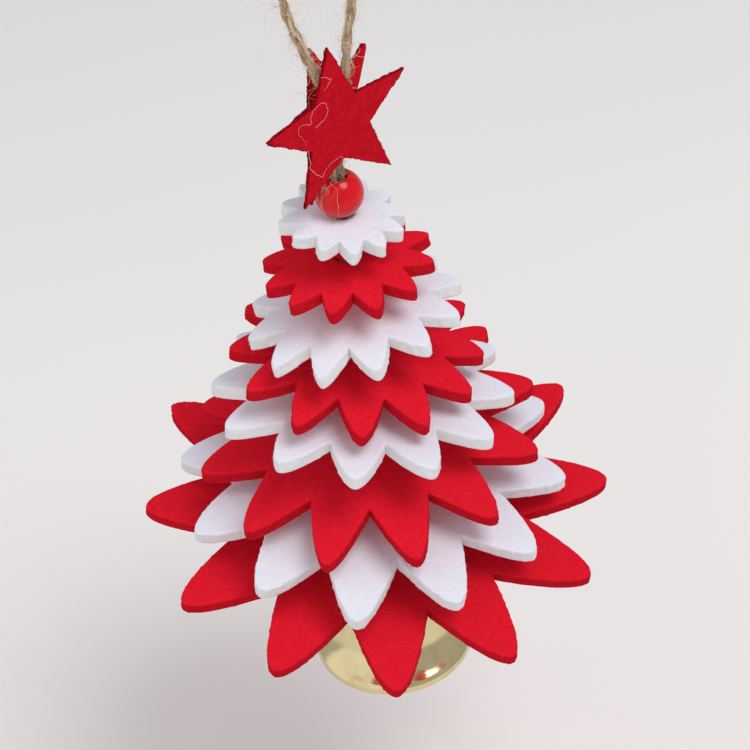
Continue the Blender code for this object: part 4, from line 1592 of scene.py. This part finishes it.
@dataclass
class StrayFibres:
    """Long jute fibres that cling to the front star and to the red bead.

    Attributes:
        on_star: Paths in the star's plane, right and up from its centre.
        on_bead: Paths round the bead, from its centre.
        tuft_at: Way from the bead's centre to its tuft of tangled fibres.
        lift: How far a fibre lies off the surface.
        stray: How far a fibre strays from its path.
    """

    radius: float = 0.000036
    lift: float = 0.00015
    step: float = 0.0003
    stray: float = 0.00035
    stray_length: float = 0.0011
    on_star: tuple[tuple[tuple[float, float], ...], ...] = (
        ((-0.0033, 0.0138), (-0.0014, 0.0126), (-0.0010, 0.0117), (-0.0030, 0.0102)),
        ((-0.0024, 0.0055), (-0.0031, 0.0071), (-0.0048, 0.0075), (-0.0065, 0.0064),
         (-0.0071, 0.0053), (-0.0068, 0.0041), (-0.0094, 0.0048), (-0.0101, 0.0036),
         (-0.0089, 0.0010), (-0.0091, -0.0002)),
        ((-0.0024, 0.0052), (-0.0039, 0.0035), (-0.0060, 0.0025)),
        ((-0.0084, -0.0016), (-0.0084, -0.0049), (-0.0085, -0.0067), (-0.0060, -0.0098),
         (-0.0048, -0.0087), (-0.0024, -0.0075), (-0.0004, -0.0078)),
    )
    on_bead: tuple[tuple[tuple[float, float, float], ...], ...] = (
        ((-0.0039, -0.0020, 0.0032), (-0.0018, -0.0028, 0.0043), (0.0007, -0.0027, 0.0046)),
        ((-0.0017, -0.0023, 0.0046), (-0.0004, -0.0037, 0.0040), (-0.0003, -0.0049, 0.0023),
         (-0.0007, -0.0045, -0.0029)),
        ((-0.0033, -0.0029, 0.0030), (-0.0036, -0.0039, 0.0010), (-0.0042, -0.0030, -0.0036)),
        ((-0.0028, -0.0026, 0.0038), (-0.0039, -0.0034, 0.0012), (-0.0034, -0.0036, -0.0020),
         (-0.0044, -0.0022, -0.0034)),
        ((-0.0040, -0.0012, 0.0034), (-0.0044, -0.0028, 0.0008), (-0.0040, -0.0034, -0.0008)),
    )
    tuft_at: tuple[float, float, float] = (-0.0030, -0.0032, 0.0040)
    tuft_count: int = 22
    tuft_length: float = 0.0026
    tuft_seed: int = 41

    def tuft(self, root: Vector) -> list[list[Vector]]:
        """Tangle short curls round a root."""
        dice = random.Random(self.tuft_seed)
        strands = []
        for _ in range(self.tuft_count):
            start = root + self.stray * Vector([dice.gauss(0, 1) for _ in range(3)])
            heading = Vector((dice.gauss(-0.2, 0.6), dice.gauss(-0.5, 0.5), dice.gauss(0, 1)))
            length = self.tuft_length * dice.uniform(0.4, 1.0)
            strands.append(curl(start, heading, length, 8, 0.7, dice))
        return strands

    def wander(self, point: Vector, free: Sequence[float]) -> Vector:
        """Move a point of a fibre aside by smooth noise, along the free axes."""
        shift = noise.noise_vector(point / self.stray_length)
        return point + self.stray * Vector(a * b for a, b in zip(shift, free))

    def build(self) -> None:
        """Lay the fibres on the star and on the bead."""
        facing = Matrix.Translation((0, 0, -STAR_DEPTH)) @ turn_z(FRONT_STAR_AZIMUTH_DEG)
        front = -FRONT_STAR_STANDOFF - STAR_THICK / 2 - self.lift
        strands = [
            [facing @ self.wander(p, (1, 0, 1)) for p in smooth_route(
                [Vector((side, front, up)) for side, up in path], self.step)]
            for path in self.on_star
        ]
        hairs("star_stray_fibres", strands, self.radius, LINT, "twine", taper=0.7)
        centre = middle_of("red_bead") + UP * RED_BEAD_RISE
        reach = RED_BEAD_DIA / 2 + self.lift
        strands = [
            [centre + self.wander(p, (1, 1, 1)).normalized() * reach
             for p in smooth_route([Vector(p) for p in path], self.step)]
            for path in self.on_bead
        ]
        strands += self.tuft(centre + Vector(self.tuft_at))
        hairs("bead_stray_fibres", strands, self.radius, LINT, "red_bead", taper=0.7)


@dataclass
class Studio:
    """Floor, lights and camera.

    The camera's place is given from the middle of the bottom disc's face: back along its view,
    then across and up."""

    aim_height: float = -0.15236
    lens: float = 144.0
    sensor: float = 36.0
    elevation_deg: float = 42.10
    roll_deg: float = -6.92
    across: float = 0.00282
    rise: float = 0.02588
    distance: float = 0.67496
    floor_height: float = -0.262
    floor_reach: float = 4.0
    light_aim_height: float = -0.10
    room_colour: Colour = (0.97, 0.97, 1.0)
    room_strength: float = 0.50

    def camera(self) -> None:
        """Set the camera at the photograph's viewing angle."""
        tilt, roll = math.radians(self.elevation_deg), math.radians(self.roll_deg)
        forward = Vector((0, math.cos(tilt), -math.sin(tilt)))
        right, up = Vector((1, 0, 0)), Vector((0, math.sin(tilt), math.cos(tilt)))
        place = UP * self.aim_height - forward * self.distance
        place += right * self.across + up * self.rise
        side = right * math.cos(roll) + up * math.sin(roll)
        top = up * math.cos(roll) - right * math.sin(roll)
        data = bpy.data.cameras.new("photo_camera")
        data.lens, data.sensor_width, data.sensor_fit = self.lens, self.sensor, "HORIZONTAL"
        data.clip_start, data.clip_end = 0.01, 50.0
        camera = bpy.data.objects.new("photo_camera", data)
        turned = Matrix((side, top, -forward)).transposed().to_4x4()
        camera.matrix_world = Matrix.Translation(place) @ turned
        bpy.context.scene.collection.objects.link(camera)
        bpy.context.scene.camera = camera

    def light(self, name: str, place: Sequence[float], size: float, watts: float,
              colour: Colour = (1, 1, 1), mirrored: bool = True) -> None:
        """Add one soft light that looks at the tree.

        Args:
            name: Name of the light.
            place: Where it stands.
            size: Its diameter.
            watts: Its power.
            colour: Its tint.
            mirrored: Whether glossy pieces mirror it.
        """
        data = bpy.data.lights.new(name, "AREA")
        data.shape, data.size, data.energy, data.color = "DISK", size, watts, colour
        lamp = bpy.data.objects.new(name, data)
        lamp.visible_glossy = mirrored
        aim = UP * self.light_aim_height - Vector(place)
        lamp.matrix_world = (
            Matrix.Translation(place) @ aim.to_track_quat("-Z", "Y").to_matrix().to_4x4())
        bpy.context.scene.collection.objects.link(lamp)

    def floor(self) -> None:
        """Lay a plain pale floor under the tree."""
        bm = bmesh.new()
        bmesh.ops.create_grid(bm, x_segments=2, y_segments=2, size=self.floor_reach)
        bmesh.ops.translate(bm, verts=bm.verts, vec=(0, 0, self.floor_height))
        mesh = bpy.data.meshes.new("pale_floor")
        bm.to_mesh(mesh)
        bm.free()
        graph = NodeGraph("pale_floor")
        cloud = graph.noise(graph.place(), 1.6, 2.0)
        colour = graph.blend(graph.spread(cloud, 0.3, 0.7), (0.86, 0.84, 0.83), (0.90, 0.88, 0.87))
        mesh.materials.append(graph.finish(colour, None, 0.9))
        floor = bpy.data.objects.new("pale_floor", mesh)
        bpy.context.scene.collection.objects.link(floor)

    def build(self) -> None:
        """Set up the studio."""
        scene = bpy.context.scene
        scene.view_settings.view_transform = "Standard"
        scene.view_settings.look = "None"
        world = bpy.data.worlds.new("soft_room")
        world.use_nodes = True
        background = world.node_tree.nodes["Background"]
        background.inputs["Color"].default_value = (*self.room_colour, 1.0)
        background.inputs["Strength"].default_value = self.room_strength
        scene.world = world
        self.floor()
        self.light("key_window", (0.42, -0.30, 0.85), 0.60, 6.2)
        self.light("left_fill", (-0.75, -0.40, 0.35), 2.00, 4.6, (1.0, 0.99, 0.97))
        self.camera()


def main() -> None:
    """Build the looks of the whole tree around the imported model."""
    logging.basicConfig(level=logging.INFO, format="%(name)s: %(message)s")
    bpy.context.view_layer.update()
    Studio().build()
    HangingLoop(Twine(diameter=0.0020)).build()
    Stem(Twine(diameter=PULLED_TWINE_DIA, step=0.0004, segments=12)).build()
    FeltTree().build()
    Bead("red_bead", "red_bead", RED_BEAD_DIA, PAINT, "red_paint", rise=RED_BEAD_RISE).build()
    for number in range(1, DISC_COUNT):
        Bead(
            "spacer_bead_%d" % number, "spacer_%d" % number, SPACER_BEAD_DIA, PAINT, "red_paint",
        ).build()
    Bell().build()
    GlueDab().build()
    StrayFibres().build()


if __name__ == "__main__":
    main()
